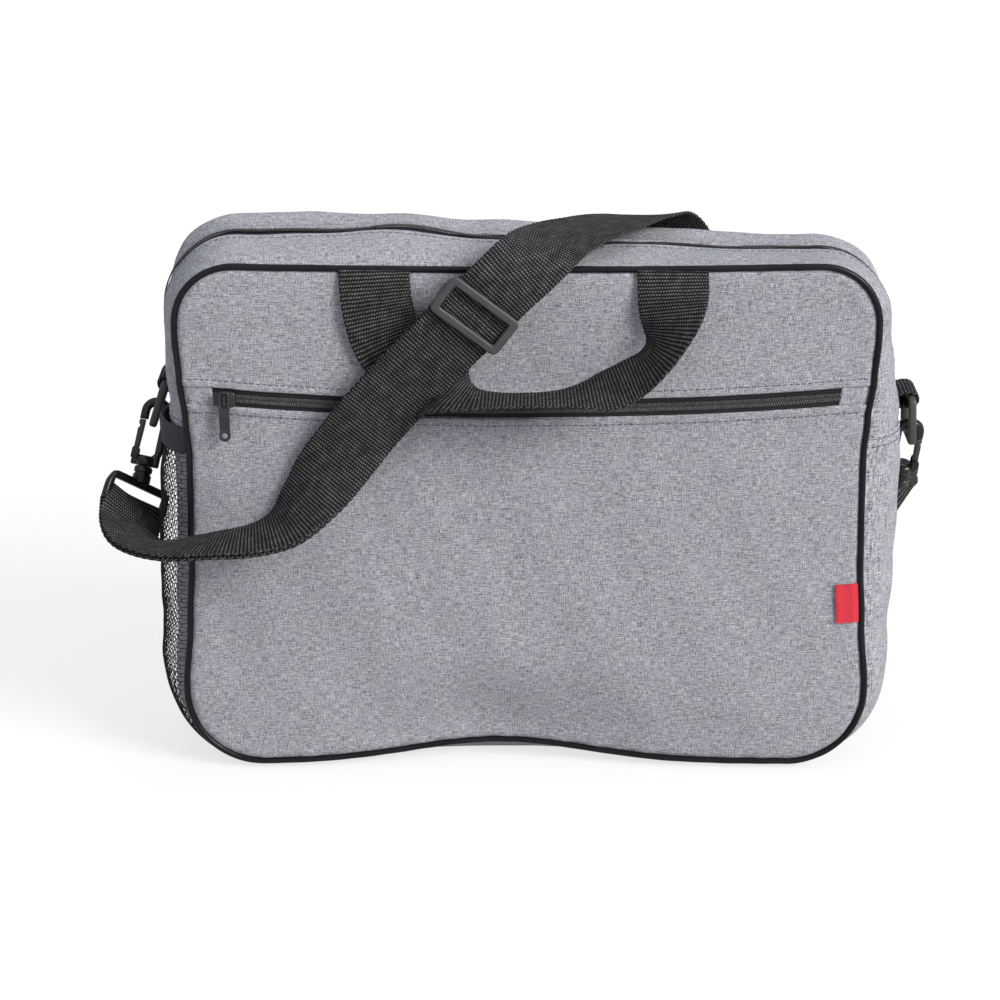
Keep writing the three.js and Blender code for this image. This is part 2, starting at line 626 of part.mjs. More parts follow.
function gateGeometry(frame) {
  const shape = new THREE.Shape([
    [gate.out, hook.collarHeight + gap], [gate.inside - gate.heel, hook.collarHeight + gap],
    [gate.inside, hook.collarHeight + gap + gate.heel],
    [gate.inside + gate.lip, hook.tipZ - gate.lipHeight], [gate.inside + gate.lip, hook.tipZ - gap],
    [gate.out, hook.tipZ - gap],
  ].map(([x, y]) => new THREE.Vector2(x, y)));
  return plate(shape, gate.depth).applyMatrix4(frame.matrix);
}

function swivelLoop(side) {
  const frame = hookFrame(side);
  const loop = strapLoopFrame(side);
  const barrel = new THREE.CylinderGeometry(swivel.radius, swivel.radius, swivel.length, 12);
  barrel.translate(0, -gap - swivel.length / 2, 0).applyMatrix4(frame.matrix);
  const body = plate(strapLoopShape(), strapLoop.thick).applyMatrix4(loop.matrix);
  return join(barrel, body);
}

for (const [name, side] of Object.entries(sides)) {
  const frame = hookFrame(side);
  add(`${name}_ring_tab`, ringTab(side), webbingBlack);
  add(`${name}_ring`, ringGeometry(side), plasticGrey);
  add(`${name}_hook`, plate(hookShape(), hook.thick).applyMatrix4(frame.matrix), plasticBlack);
  add(`${name}_hook_gate`, gateGeometry(frame), plasticBlack);
  add(`${name}_hook_loop`, swivelLoop(side), plasticBlack);
}

// The strap turns round each hook loop's lower bar; the sewn-back layer lies on its bag side
const wrapRadius = (Math.max(strapLoop.bar, strapLoop.thick) / 2) * Math.SQRT2 + 2 * gap + webThick / 2;
const sewnBack = 6;         // stations of the sewn-back layer at the right hook
const strapPerRow = 3;
const wrapSteps = 6;

function wrapFrames(side, leave) {
  const { base } = strapLoopFrame(side);
  const across = side.loopAlong.clone().multiplyScalar(leave.across.dot(side.loopAlong) < 0 ? -1 : 1);
  const away = leave.point.clone().sub(base);
  away.addScaledVector(across, -away.dot(across)).normalize();
  const lift = new THREE.Vector3().crossVectors(away, across);
  if (lift.dot(leave.normal) < 0) lift.negate();
  return Array.from({ length: wrapSteps + 1 }, (_, k) => {
    const angle = (Math.PI * k) / wrapSteps;
    const normal = lift.clone().multiplyScalar(Math.cos(angle)).addScaledVector(away, -Math.sin(angle));
    return { point: base.clone().addScaledVector(normal, wrapRadius), across, normal };
  });
}

const turned = (frame, distance) => ({
  point: frame.point.clone().addScaledVector(frame.normal, -distance),
  across: frame.across,
  normal: frame.normal.clone().negate(),
});

const mainRun = ribbonFrames(strapRoute, strapPerRow);
const slideRow = 10;        // the route's row under the strap slider
const slideIndex = slideRow * strapPerRow;
const leftWrap = wrapFrames(sides.left, mainRun[0]).toReversed();
const rightWrap = wrapFrames(sides.right, mainRun.at(-1));
const slide = { long: 44.5, short: 23, bar: 4, thick: 3.2, deep: 3.4, lift: 0.3, round: 3 };
const slideLeg = { wide: 2.4, long: 8, margin: 0.1, overlap: 0.4 };
const slideBar = { wide: 6, margin: 0.5 };
const slideBase = webThick / 2 + gap + slide.lift;
const tuck = slideBase + slide.deep + gap + webThick / 2;
const doubled = mainRun.slice(1, slideIndex + 1).map((frame, k) =>
  turned(frame, lerp(webLayer, tuck, smoothstep(k, slideIndex - 8, slideIndex - 2))));
const tail = mainRun.slice(-sewnBack - 1, -1).map((frame) => turned(frame, webLayer));
const strapFrames = [...doubled.toReversed(), ...leftWrap, ...mainRun, ...rightWrap, ...tail.toReversed()];
add('shoulder_strap', ribbon(strapFrames), webbingBlack);

// Strap slider: a frame over the strap, with sides reaching down to a middle bar under it
function sliderGeometry() {
  const { point, across, normal } = mainRun[slideIndex];
  const along = new THREE.Vector3().crossVectors(normal, across);
  const window = [slide.long / 2 - slide.bar, slide.short / 2 - slide.bar];
  const top = plate(rectangle(slide.long / 2, slide.short / 2, ...window, slide.round), slide.thick);
  top.translate(0, 0, slideBase + slide.thick / 2);
  const drop = 2 * slideBase + slide.deep + slideLeg.overlap;
  const legX = (slide.long - slideLeg.wide) / 2 - slideLeg.margin;
  const legs = [-1, 1].map((end) => {
    const leg = new THREE.BoxGeometry(slideLeg.wide, slideLeg.long, drop);
    return leg.translate(end * legX, 0, slideBase + slideLeg.overlap - drop / 2);
  });
  const bar = new THREE.BoxGeometry(slide.long - 2 * slideBar.margin, slideBar.wide, slide.deep);
  bar.translate(0, 0, -slideBase - slide.deep / 2);
  return join(top, ...legs, bar).applyMatrix4(frameAt(point, across, along, normal));
}

add('strap_slider', sliderGeometry(), plasticGrey);

// Zip sliders: one on the pocket zip with a hanging pull, one plain one on the main zip
const pull = { x: -163, width: 5.6, thick: 1.6, top: 5.4, length: 25, hole: 1.5, clear: 0.6 };
const pullEye = { half: 1.4, top: 3.9, base: -4.2 };
const runner = { length: 12, height: 9, thick: 3.2 };
const bridge = { width: 2, deep: 2.2, height: 6.4, sunk: 0.3 };

function pocketRunner() {
  const seat = panelPoint(pull.x, zipMiddle(pull.x), -1, frontPillow);
  const face = seat.y - gap - runner.thick;
  const body = new THREE.BoxGeometry(runner.length, runner.thick, runner.height);
  body.translate(pull.x, face + runner.thick / 2, seat.z);
  const post = new THREE.BoxGeometry(bridge.width, bridge.deep, bridge.height);
  post.translate(pull.x, face + bridge.sunk - bridge.deep / 2, seat.z);
  return { geometry: join(body, post), face, z: seat.z };
}

const pocket = pocketRunner();
add('pocket_zip_slider', pocket.geometry, zipMetal);

function pullGeometry() {
  const shape = new THREE.Shape();
  const half = pull.width / 2;
  const end = pull.top - pull.length;
  shape.moveTo(-half, pull.top);
  shape.lineTo(-half, end);
  shape.absarc(0, end, half, Math.PI, 2 * Math.PI, false);
  shape.lineTo(half, pull.top);
  const eye = [[-1, pullEye.top], [1, pullEye.top], [1, pullEye.base], [-1, pullEye.base]];
  shape.holes.push(new THREE.Path(eye.map(([x, z]) => new THREE.Vector2(x * pullEye.half, z))));
  shape.holes.push(new THREE.Path().absarc(0, end, pull.hole, 0, 2 * Math.PI, true));
  const y = pocket.face - pull.clear - pull.thick / 2;
  const axes = [new THREE.Vector3(1, 0, 0), new THREE.Vector3(0, 0, 1), new THREE.Vector3(0, -1, 0)];
  return plate(shape, pull.thick).applyMatrix4(frameAt(new THREE.Vector3(pull.x, y, pocket.z), ...axes));
}

add('pocket_zip_pull', pullGeometry(), zipMetal);

const mainRunner = { x: 20, length: 12, width: 8, thick: 3, lift: 1.1 };
const runnerSeat = gussetPoint(station(mainRunner.x, topHeight, 0, 1), 0.5, coilHeight + mainRunner.lift);
const mainBody = new THREE.BoxGeometry(mainRunner.length, mainRunner.width, mainRunner.thick);
mainBody.translate(runnerSeat.x, runnerSeat.y, runnerSeat.z + mainRunner.thick / 2);
add('main_zip_slider', mainBody, zipMetal);

export default bag;
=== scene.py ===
import math

import bpy
import numpy as np
from mathutils import Matrix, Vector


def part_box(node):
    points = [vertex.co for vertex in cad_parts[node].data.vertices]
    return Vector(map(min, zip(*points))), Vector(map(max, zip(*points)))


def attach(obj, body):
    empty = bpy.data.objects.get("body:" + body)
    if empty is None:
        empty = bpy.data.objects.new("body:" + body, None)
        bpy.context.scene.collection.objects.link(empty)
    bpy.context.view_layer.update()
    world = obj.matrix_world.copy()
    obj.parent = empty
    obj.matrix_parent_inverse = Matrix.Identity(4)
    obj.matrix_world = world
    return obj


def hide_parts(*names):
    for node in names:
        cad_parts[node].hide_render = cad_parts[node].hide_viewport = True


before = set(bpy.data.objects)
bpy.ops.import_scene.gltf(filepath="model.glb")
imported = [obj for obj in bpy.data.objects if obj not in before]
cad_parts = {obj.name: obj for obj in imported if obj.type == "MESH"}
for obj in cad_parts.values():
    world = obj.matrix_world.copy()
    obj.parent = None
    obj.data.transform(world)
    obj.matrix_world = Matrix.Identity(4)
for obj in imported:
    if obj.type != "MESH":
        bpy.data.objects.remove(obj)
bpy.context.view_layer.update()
mm = 0.001               # every size below is in millimetres and becomes metres in the mesh
print("stage: frame loaded with", len(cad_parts), "nodes")


def added(name, data):
    obj = bpy.data.objects.new(name, data)
    bpy.context.collection.objects.link(obj)
    return obj


# Camera at the photograph's angle
cameraSet = {"place": (-14.4, -1508.2, 695.9), "tilt": 70.0, "lens": 102.7, "sensor": 36.0, "near": 20.0}


def addCamera():
    data = bpy.data.cameras.new("photo_camera")
    data.lens = cameraSet["lens"]
    data.sensor_width = cameraSet["sensor"]
    data.clip_start = cameraSet["near"] * mm
    camera = added("photo_camera", data)
    camera.location = [v * mm for v in cameraSet["place"]]
    camera.rotation_euler = (math.radians(cameraSet["tilt"]), 0.0, 0.0)
    bpy.context.scene.camera = camera


addCamera()
print("stage: camera placed")


# Shader helpers: a wrapped socket takes the plain operators, and one method adds any other node
class Wire:
    def __init__(self, look, socket):
        self.look = look
        self.socket = socket

    def __add__(self, other):
        return self.look.sums("ADD", self, other)

    def __radd__(self, other):
        return self.look.sums("ADD", other, self)

    def __sub__(self, other):
        return self.look.sums("SUBTRACT", self, other)

    def __rsub__(self, other):
        return self.look.sums("SUBTRACT", other, self)

    def __mul__(self, other):
        return self.look.sums("MULTIPLY", self, other)

    def __rmul__(self, other):
        return self.look.sums("MULTIPLY", other, self)

    def __pow__(self, other):
        return self.look.sums("POWER", self, other)


class Look:
    def __init__(self, name, constants):
        self.material = bpy.data.materials.new(name)
        self.material.use_nodes = True
        self.tree = self.material.node_tree
        self.shader = self.tree.nodes["Principled BSDF"]
        for key, value in constants.items():
            self.shader.inputs[key].default_value = value

    def put(self, socket, value):
        if isinstance(value, Wire):
            self.tree.links.new(value.socket, socket)
        else:
            socket.default_value = value

    def node(self, kind, settings, values, out=0):
        node = self.tree.nodes.new("ShaderNode" + kind)
        for key, value in settings.items():
            if key == "stops":
                for place, _ in value[2:]:
                    node.color_ramp.elements.new(place)
                for stop, (place, colour) in zip(node.color_ramp.elements, value):
                    stop.position = place
                    stop.color = (*colour, 1.0)
            else:
                setattr(node, key, value)
        for key, value in values.items():
            self.put(node.inputs[key], value)
        return Wire(self, node.outputs[out])

    def sums(self, operation, *values):
        return self.node("Math", {"operation": operation}, dict(enumerate(values)))

    def sine(self, value):
        return self.sums("SINE", value)

    def blend(self, factor, first, second):
        settings = {"data_type": "RGBA", "blend_type": "MIX"}
        return self.node("Mix", settings, {0: factor, 6: first, 7: second}, 2)

    def noise(self, source, scale, detail=2.0, shift=(0.0, 0.0, 0.0)):
        here = self.node("Mapping", {}, {"Vector": source, "Scale": scale, "Location": shift})
        values = {"Vector": here, "Scale": 1.0, "Detail": detail}
        return self.node("TexNoise", {"noise_dimensions": "3D"}, values)

    def uv(self):
        return self.node("UVMap", {"uv_map": "weave"}, {})

    def ours(self):
        return self.node("TexCoord", {}, {}, "Object")

    def split(self, vector):
        axes = {"Vector": vector}
        return [self.node("SeparateXYZ", {}, axes, k) for k in range(3)]

    def ramp(self, factor, *stops):
        return self.node("ValToRGB", {"stops": stops}, {"Fac": factor})

    def bump(self, height, distance, strength=1.0):
        values = {"Height": height, "Distance": distance, "Strength": strength}
        self.put(self.shader.inputs["Normal"], self.node("Bump", {}, values))

    def colour(self, wire):
        self.put(self.shader.inputs["Base Color"], wire)

    def roughness(self, wire):
        self.put(self.shader.inputs["Roughness"], wire)


# Finishes
clothSet = {
    "grey": ((0.098, 0.100, 0.124), (0.336, 0.342, 0.362), (0.62, 0.63, 0.645)),
    "cool": ((0.092, 0.093, 0.130), (0.322, 0.324, 0.366), (0.59, 0.595, 0.64)),
    "streakLong": 270.0, "streakFine": 2150.0, "cloud": (52.0, 66.0, 1.0), "thread": 0.56 * mm,
    "weights": (1.35, 1.25, 0.7, 0.5, 1.5, 0.16),      # weft, warp, slub, pick, grain and cloud
    "weaveHeight": 0.45, "toneHeight": 0.9, "bump": 0.14 * mm,
}


def heatherCloth():
    look = Look("heather_cloth", {"Roughness": 0.95, "Specular IOR Level": 0.12, "Sheen Weight": 0.08,
                                  "Sheen Roughness": 0.6})
    uv = look.uv()
    long, fine = clothSet["streakLong"], clothSet["streakFine"]
    weft = look.noise(uv, (long, fine, 1.0), 2.0, (3.1, 0.7, 0.0))
    warp = look.noise(uv, (fine, long * 1.2, 1.0), 2.0, (0.4, 5.2, 0.0))
    slub = look.noise(uv, (long * 0.34, fine * 0.8, 1.0), 1.0, (7.7, 1.3, 0.0))
    pick = look.noise(uv, (fine * 0.8, long * 0.34, 1.0), 1.0, (2.2, 6.4, 0.0))
    grain = look.noise(uv, (fine * 0.95, fine * 0.95, 1.0), 1.0)
    cloud = look.noise(uv, clothSet["cloud"], 3.0, (1.9, 8.3, 0.0))
    tone = 0.5
    for threads, weight in zip((weft, warp, slub, pick, grain, cloud), clothSet["weights"]):
        tone = tone + (threads - 0.5) * weight
    grey, cool = (look.ramp(tone, *zip((0.0, 0.50, 1.0), clothSet[key])) for key in ("grey", "cool"))
    look.colour(look.blend(look.ramp(cloud, (0.40, (0, 0, 0)), (0.60, (1, 1, 1))), grey, cool))
    across, along, _ = look.split(uv)
    turn = 2 * math.pi / clothSet["thread"]
    weave = look.sine(across * turn) * look.sine(along * turn)
    height = weave * clothSet["weaveHeight"] + (tone - 0.5) * clothSet["toneHeight"]
    look.bump(height, clothSet["bump"], 0.7)
    return look.material


def pipingVinyl():
    look = Look("piping_vinyl", {"Roughness": 0.3, "Specular IOR Level": 0.24})
    here = look.ours()
    lean = look.split(look.uv())[0]      # 0 at the cord's crown, 1 at its root
    pebble = look.noise(here, (900.0, 900.0, 900.0), 3.0)
    patch = look.noise(here, (55.0, 55.0, 55.0), 2.0)
    sheen = look.ramp(patch, (0.3, (0.006, 0.006, 0.008)), (0.7, (0.012, 0.012, 0.015)))
    # painted shade: the cord's root half, where it meets the cloth, is darkened towards near black
    rootShade = look.ramp(lean, (0.44, (0.0, 0.0, 0.0)), (0.54, (1.0, 1.0, 1.0)))
    look.colour(look.blend(rootShade, sheen, (0.004, 0.004, 0.005, 1.0)))
    look.roughness(0.24 + patch * 0.2)
    look.bump(pebble, 0.07 * mm, 0.5)
    return look.material


webSet = {"across": 0.74, "along": 1.9}     # half the knots' pitch across, and the pitch of their rows


def webbingLook(name, dark, bright):
    look = Look(name, {"Specular IOR Level": 0.22})
    uv = look.uv()
    across, along, _ = look.split(uv)
    sway = (look.noise(uv, (150.0, 260.0, 1.0), 2.0, (5.0, 2.0, 0.0)) - 0.5) * (0.9 * mm)
    warp = look.sums("COSINE", (across + sway) * (math.pi / (webSet["across"] * mm)))
    weft = look.sums("COSINE", (along + sway) * (math.pi / (webSet["along"] * mm)))
    row = look.sums("ABSOLUTE", weft) ** 1.6
    fibre = look.noise(uv, (1500.0, 2600.0, 1.0), 2.0)
    worn = look.noise(uv, (210.0, 120.0, 1.0), 3.0, (2.0, 9.0, 0.0))
    # colour follows the knot pattern plus fibre and worn noise: the worn patches are real wear, the lighter
    # knot crests are painted highlight and the darker hollows between them are painted shade
    share = row * 0.54 + warp * weft * 0.24 + 0.06 + (fibre - 0.5) * 0.7 + (worn - 0.5) * 0.5
    look.colour(look.ramp(share, (0.18, dark), (0.55, bright[0]), (0.95, bright[1])))
    look.roughness(0.85 - share * 0.25)
    look.bump(share, 0.28 * mm, 0.8)
    return look.material


def netThread():
    look = Look("net_thread", {"Roughness": 0.7, "Specular IOR Level": 0.35})
    fibre = look.noise(look.ours(), (2600.0, 2600.0, 2600.0), 2.0)
    look.colour(look.ramp(fibre, (0.3, (0.012, 0.012, 0.014)), (0.7, (0.042, 0.042, 0.048))))
    look.bump(fibre, 0.08 * mm, 0.5)
    return look.material


def elasticBinding():
    look = Look("elastic_binding", {"Roughness": 0.88, "Specular IOR Level": 0.2, "Sheen Weight": 0.1})
    along = look.split(look.uv())[1]
    rib = look.sine(along * (2 * math.pi / (0.9 * mm)))
    fibre = look.noise(look.uv(), (900.0, 900.0, 1.0), 2.0)
    share = rib * 0.3 + 0.5 + (fibre - 0.5) * 0.5
    look.colour(look.ramp(share, (0.1, (0.028, 0.028, 0.032)), (0.9, (0.085, 0.085, 0.092))))
    look.bump(rib * 0.6 + fibre * 0.4, 0.22 * mm, 0.8)
    return look.material


def zipTape():
    look = Look("zip_tape", {"Roughness": 0.85, "Specular IOR Level": 0.25})
    across, along, _ = look.split(look.uv())
    twill = look.sine((across + along) * (2 * math.pi / (0.85 * mm)))
    fibre = look.noise(look.uv(), (1500.0, 700.0, 1.0), 2.0)
    share = twill * 0.25 + 0.5 + (fibre - 0.5) * 0.6
    look.colour(look.ramp(share, (0.1, (0.010, 0.010, 0.012)), (0.9, (0.034, 0.034, 0.039))))
    look.bump(twill * 0.5 + fibre * 0.5, 0.12 * mm, 0.7)
    return look.material


def zipCoil(name, dark, bright):
    look = Look(name, {"Roughness": 0.34, "Specular IOR Level": 0.5})
    grain = look.noise(look.ours(), (700.0, 700.0, 700.0), 2.0)
    look.colour(look.ramp(grain, (0.3, dark), (0.7, bright)))
    look.roughness(0.26 + grain * 0.2)
    return look.material


def zipMetal():
    look = Look("zip_metal", {"Specular IOR Level": 0.5, "Coat Weight": 0.15})
    here = look.ours()
    grain = look.noise(here, (420.0, 420.0, 420.0), 4.0)
    rub = look.noise(here, (130.0, 130.0, 130.0), 3.0, (4.0, 1.0, 2.0))
    look.colour(look.ramp(rub, (0.35, (0.022, 0.022, 0.024)), (0.72, (0.062, 0.061, 0.062))))
    look.put(look.shader.inputs["Metallic"], 0.1 + rub * 0.5)
    look.roughness(0.30 + grain * 0.22)
    look.bump(grain, 0.05 * mm, 0.5)
    return look.material


def mouldedPlastic(name, dark, bright, rough):
    look = Look(name, {"Specular IOR Level": 0.5})
    here = look.ours()
    grain = look.noise(here, (1700.0, 1700.0, 1700.0), 2.0)
    flow = look.noise(here, (60.0, 60.0, 90.0), 3.0)
    look.colour(look.ramp(flow, (0.3, dark), (0.7, bright)))
    look.roughness(rough + (flow - 0.5) * 0.16 + (grain - 0.5) * 0.1)
    look.bump(grain, 0.04 * mm, 0.6)
    return look.material


def redWoven():
    look = Look("red_label", {"Roughness": 0.72, "Specular IOR Level": 0.25, "Sheen Weight": 0.15})
    along = look.split(look.uv())[1]
    rib = look.sine(along * (2 * math.pi / (0.5 * mm))) * 0.5 + 0.5
    fibre = look.noise(look.uv(), (3200.0, 900.0, 1.0), 2.0)
    share = rib * 0.45 + fibre * 0.55
    look.colour(look.ramp(share, (0.15, (0.46, 0.012, 0.026)), (0.85, (0.78, 0.045, 0.07))))
    look.bump(share, 0.10 * mm, 0.7)
    return look.material


def sewingThread(name, dark, bright):
    look = Look(name, {"Roughness": 0.6, "Specular IOR Level": 0.35})
    twist = look.noise(look.ours(), (1900.0, 1900.0, 1900.0), 2.0)
    look.colour(look.ramp(twist, (0.3, dark), (0.7, bright)))
    return look.material


floorSet = {"size": 60.0, "glow": 0.71, "bounce": (0.35, 0.35, 0.35, 1.0), "seen": (1.0, 1.0, 1.0, 1.0)}


def paleFloor():      # brighter to the camera than to the bag that stands on it
    look = Look("pale_floor", {"Roughness": 0.95, "Specular IOR Level": 0.1,
                               "Emission Strength": floorSet["glow"]})
    camera = look.node("LightPath", {}, {}, "Is Camera Ray")
    glow = look.blend(camera, floorSet["bounce"], floorSet["seen"])
    look.put(look.shader.inputs["Emission Color"], glow)
    cloud = look.noise(look.ours(), (2.0, 2.0, 2.0), 2.0)
    look.colour(look.ramp(cloud, (0.2, (0.29, 0.29, 0.29)), (0.8, (0.31, 0.31, 0.31))))
    return look.material


heather = heatherCloth()
vinyl = pipingVinyl()
# the brightest stop is painted highlight on the knot crests; the darkest stop fills the hollows as painted
# shade
webbing = webbingLook("black_webbing", (0.004, 0.004, 0.005),
                      ((0.038, 0.037, 0.038), (0.24, 0.235, 0.23)))
netLook = netThread()
elastic = elasticBinding()
tapeLook = zipTape()
pocketCoil = zipCoil("pocket_coil", (0.055, 0.054, 0.054), (0.125, 0.122, 0.12))
# painted shade: a darker copy of the pocket coil that offsets the stronger light falling on the top
shadedMainCoil = zipCoil("main_coil_shaded", (0.012, 0.012, 0.013), (0.045, 0.044, 0.044))
metal = zipMetal()
greyPlastic = mouldedPlastic("grey_plastic", (0.046, 0.046, 0.048), (0.066, 0.066, 0.068), 0.46)
blackPlastic = mouldedPlastic("black_plastic", (0.006, 0.006, 0.007), (0.012, 0.012, 0.013), 0.28)
redTag = redWoven()
blueThread = sewingThread("blue_thread", (0.050, 0.054, 0.105), (0.095, 0.100, 0.175))
greyThread = sewingThread("grey_thread", (0.060, 0.060, 0.062), (0.150, 0.148, 0.146))
print("stage: finishes made")


# Small sums
def smooth(low, high, at):
    share = np.clip((at - low) / (high - low), 0.0, 1.0)
    return share * share * (3.0 - 2.0 * share)


def mixed(first, second, share):
    return first + (second - first) * share


def unit(vectors):
    vectors = np.asarray(vectors, float)
    return vectors / np.linalg.norm(vectors, axis=-1, keepdims=True)


def square(vectors, to):
    return vectors - np.sum(vectors * to, axis=-1, keepdims=True) * to


def column(table, key, name, at):      # smooth value of a table's column between its rows
    keys = np.asarray(table[key], float)
    values = np.asarray(table[name], float)
    row = np.clip(np.searchsorted(keys, at) - 1, 0, len(keys) - 2)
    return mixed(values[row], values[row + 1], smooth(keys[row], keys[row + 1], at))


def ripple(u, v, size, seed, waves=7):      # soft waves of about one size, one in height
    draw = np.random.default_rng(seed)
    total = 0.0
    for _ in range(waves):
        length = size * draw.uniform(0.6, 1.7)
        angle = draw.uniform(0.0, math.pi)
        phase = draw.uniform(0.0, 2 * math.pi)
        total = total + np.sin(2 * math.pi * (u * math.cos(angle) + v * math.sin(angle)) / length + phase)
    return total / math.sqrt(waves)


waveSeeds = {"front": 11, "back": 23, "topFront": 31, "topBack": 37, "lower": 43, "piping": 51, "net": 61,
             "binding": 67, "label": 71}


def ridge(at, middle, width):
    return np.exp(-((at - middle) / width) ** 2)


def distances(points):      # how far along a line each of its points is
    steps = np.linalg.norm(np.diff(points, axis=0), axis=1)
    return np.concatenate(((0.0,), np.cumsum(steps)))


def between(at, far, rows):      # rows read off at given distances along a line
    return np.stack([np.interp(at, far, rows[:, k]) for k in range(3)], -1)


def flatMap(first, second):      # the weave's map over a grid of points
    return np.stack(np.broadcast_arrays(first, second), -1)


# The body's shape, as in the frame but for the back top edge, which rolls over
body = {
    "halfWidth": 190.0, "halfDepth": 40.0, "baseHeight": 4.2, "topHeight": 294.3,
    "topCorner": 34.0, "baseCorner": 43.0, "wall": 1.6,
    "rightSeam": 196.0, "leftSeam": 207.0, "baseSwell": 6.0, "topSag": 2.4, "gussetEdge": 2.65,
    "frontPillow": 6.0, "backPillow": 5.0, "topFade": (205.0, 285.0),
}
dent = {"x": -15.0, "reach": 70.0, "lift": 8.4, "push": 12.0, "fade": (10.0, 75.0)}      # at the front base
sideSwell = {
    "z": (0, 31, 74, 117, 147, 174, 205, 230, 252, 300),
    "left": (6, 8, 9.5, 10.5, 11, 11, 11, 10, 8, 5),
    "right": (12, 14, 17.5, 22, 24.5, 25, 21, 15, 10, 6),
}
topShape = {
    "x": (-190, -145, -69, -25, 40, 135, 190),
    "swell": (4, 4.6, 8.6, 5, 3, 2, 3),
    "rise": (8, 8, 5.8, 3.6, 0.6, -4.6, -5.4),
}
sidePinch = {
    "z": (0, 50, 90, 126, 165, 188, 208, 230, 255, 300),
    "inset": (0, 0.2, 3.4, 5.4, 6.2, 6.4, 5, 2.4, 0.8, 0),
}
backRoll = {"start": 26.0, "drop": 3.6, "crest": 3.8, "crestAt": 25.0, "reach": 9.0, "fade": (205.0, 260.0)}
netStand = {"z": (0, 25, 70, 125, 165, 190, 210), "off": (0.6, 2.5, 7, 9, 8, 5, 4)}

halfWidth = body["halfWidth"]
halfDepth = body["halfDepth"]
gussetReach = halfDepth - body["gussetEdge"]
topX = halfWidth - body["topCorner"]
baseX = halfWidth - body["baseCorner"]
topZ = body["topHeight"] - body["topCorner"]
baseZ = body["baseHeight"] + body["baseCorner"]


def slump(x, y, z):
    x, y, z = np.broadcast_arrays(x, y, z)
    across = np.clip((y + halfDepth) / (2 * halfDepth), 0.0, 1.0)
    front = 1 - smooth(-halfDepth, 0.0, y)
    press = front * (1 - smooth(*dent["fade"], z)) * ridge(x, dent["x"], dent["reach"])
    narrow = 1 - column(sidePinch, "z", "inset", z) / halfWidth
    sag = body["topSag"] * (1 - (x / halfWidth) ** 2) * (1 - across)
    rise = column(topShape, "x", "rise", x) * across
    crest = backRoll["crest"] * ridge(y, backRoll["crestAt"], backRoll["reach"])
    roll = crest - backRoll["drop"] * smooth(backRoll["start"], halfDepth, y)
    narrow = narrow + roll * smooth(topX, halfWidth, np.abs(x)) * smooth(*backRoll["fade"], z) / halfWidth
    height = z + smooth(*body["topFade"], z) * (rise - sag + roll) + press * dent["lift"]
    return np.stack((x * narrow, y + press * dent["push"], np.maximum(height, 0.0)), -1)


# The piping's outline as a run of lines and arcs, from the foot of the right side anticlockwise
quarter = math.pi / 2
outlineParts = (
    ("line", topZ - baseZ, (halfWidth, baseZ), (0, 1), (1, 0)),
    ("arc", quarter * body["topCorner"], (topX, topZ), body["topCorner"], 0.0),
    ("line", 2 * topX, (topX, body["topHeight"]), (-1, 0), (0, 1)),
    ("arc", quarter * body["topCorner"], (-topX, topZ), body["topCorner"], quarter),
    ("line", topZ - baseZ, (-halfWidth, topZ), (0, -1), (-1, 0)),
    ("arc", quarter * body["baseCorner"], (-baseX, baseZ), body["baseCorner"], 2 * quarter),
    ("line", 2 * baseX, (-baseX, body["baseHeight"]), (1, 0), (0, -1)),
    ("arc", quarter * body["baseCorner"], (baseX, baseZ), body["baseCorner"], 3 * quarter),
)
outlineLength = sum(part[1] for part in outlineParts)
rightSeamAt = body["rightSeam"] - baseZ
leftSideAt = sum(part[1] for part in outlineParts[:4])
leftSeamAt = leftSideAt + topZ - body["leftSeam"]


def outlineAt(along):
    along = np.mod(np.asarray(along, float), outlineLength)
    x, z, nx, nz = (np.zeros_like(along) for _ in range(4))
    start = 0.0
    for kind, length, first, second, third in outlineParts:
        here = (along >= start) & (along <= start + length)
        far = along[here] - start
        if kind == "line":
            nx[here], nz[here] = third
            x[here] = first[0] + second[0] * far
            z[here] = first[1] + second[1] * far
        else:
            nx[here] = np.cos(third + far / second)
            nz[here] = np.sin(third + far / second)
            x[here] = first[0] + second * nx[here]
            z[here] = first[1] + second * nz[here]
        start += length
    return x, z, nx, nz


def gussetPoint(along, share, off=0.0):
    along, share = np.broadcast_arrays(along, share)
    x, z, nx, nz = outlineAt(along)
    right = column(sideSwell, "z", "right", z)
    left = column(sideSwell, "z", "left", z)
    level = np.where(nz > 0, column(topShape, "x", "swell", x), body["baseSwell"])
    swell = nx * nx * np.where(nx > 0, right, left) + nz * nz * level
    inside = np.clip(share, 0.0, 1.0)
    out = swell * np.maximum(np.sin(math.pi * inside ** 0.7), 0.0) ** 0.8 + off
    return slump(x + nx * out, mixed(-gussetReach, gussetReach, share), z + nz * out)


def rimDistance(x, z):      # how far a panel's point lies inside the piping's line
    middle = (body["topHeight"] + body["baseHeight"]) / 2
    half = (body["topHeight"] - body["baseHeight"]) / 2
    radius = np.where(z > middle, body["topCorner"], body["baseCorner"])
    across = np.abs(x) - (halfWidth - radius)
    up = np.abs(z - middle) - (half - radius)
    corner = np.hypot(np.maximum(across, 0.0), np.maximum(up, 0.0))
    return radius - corner - np.minimum(np.maximum(across, up), 0.0)


def panelPoint(x, z, facing, pillow, lift=0.0):
    across = 1 - (x / halfWidth) ** 4
    rise = np.sin(math.pi * (z - body["baseHeight"]) / (body["topHeight"] - body["baseHeight"]))
    out = halfDepth + body["wall"] / 2 + pillow * across * np.clip(rise, 0.0, 1.0) ** 0.7 + lift
    return slump(x, facing * out, z)


# Making meshes
def selectOnly(obj):
    bpy.ops.object.select_all(action="DESELECT")
    obj.select_set(True)
    bpy.context.view_layer.objects.active = obj


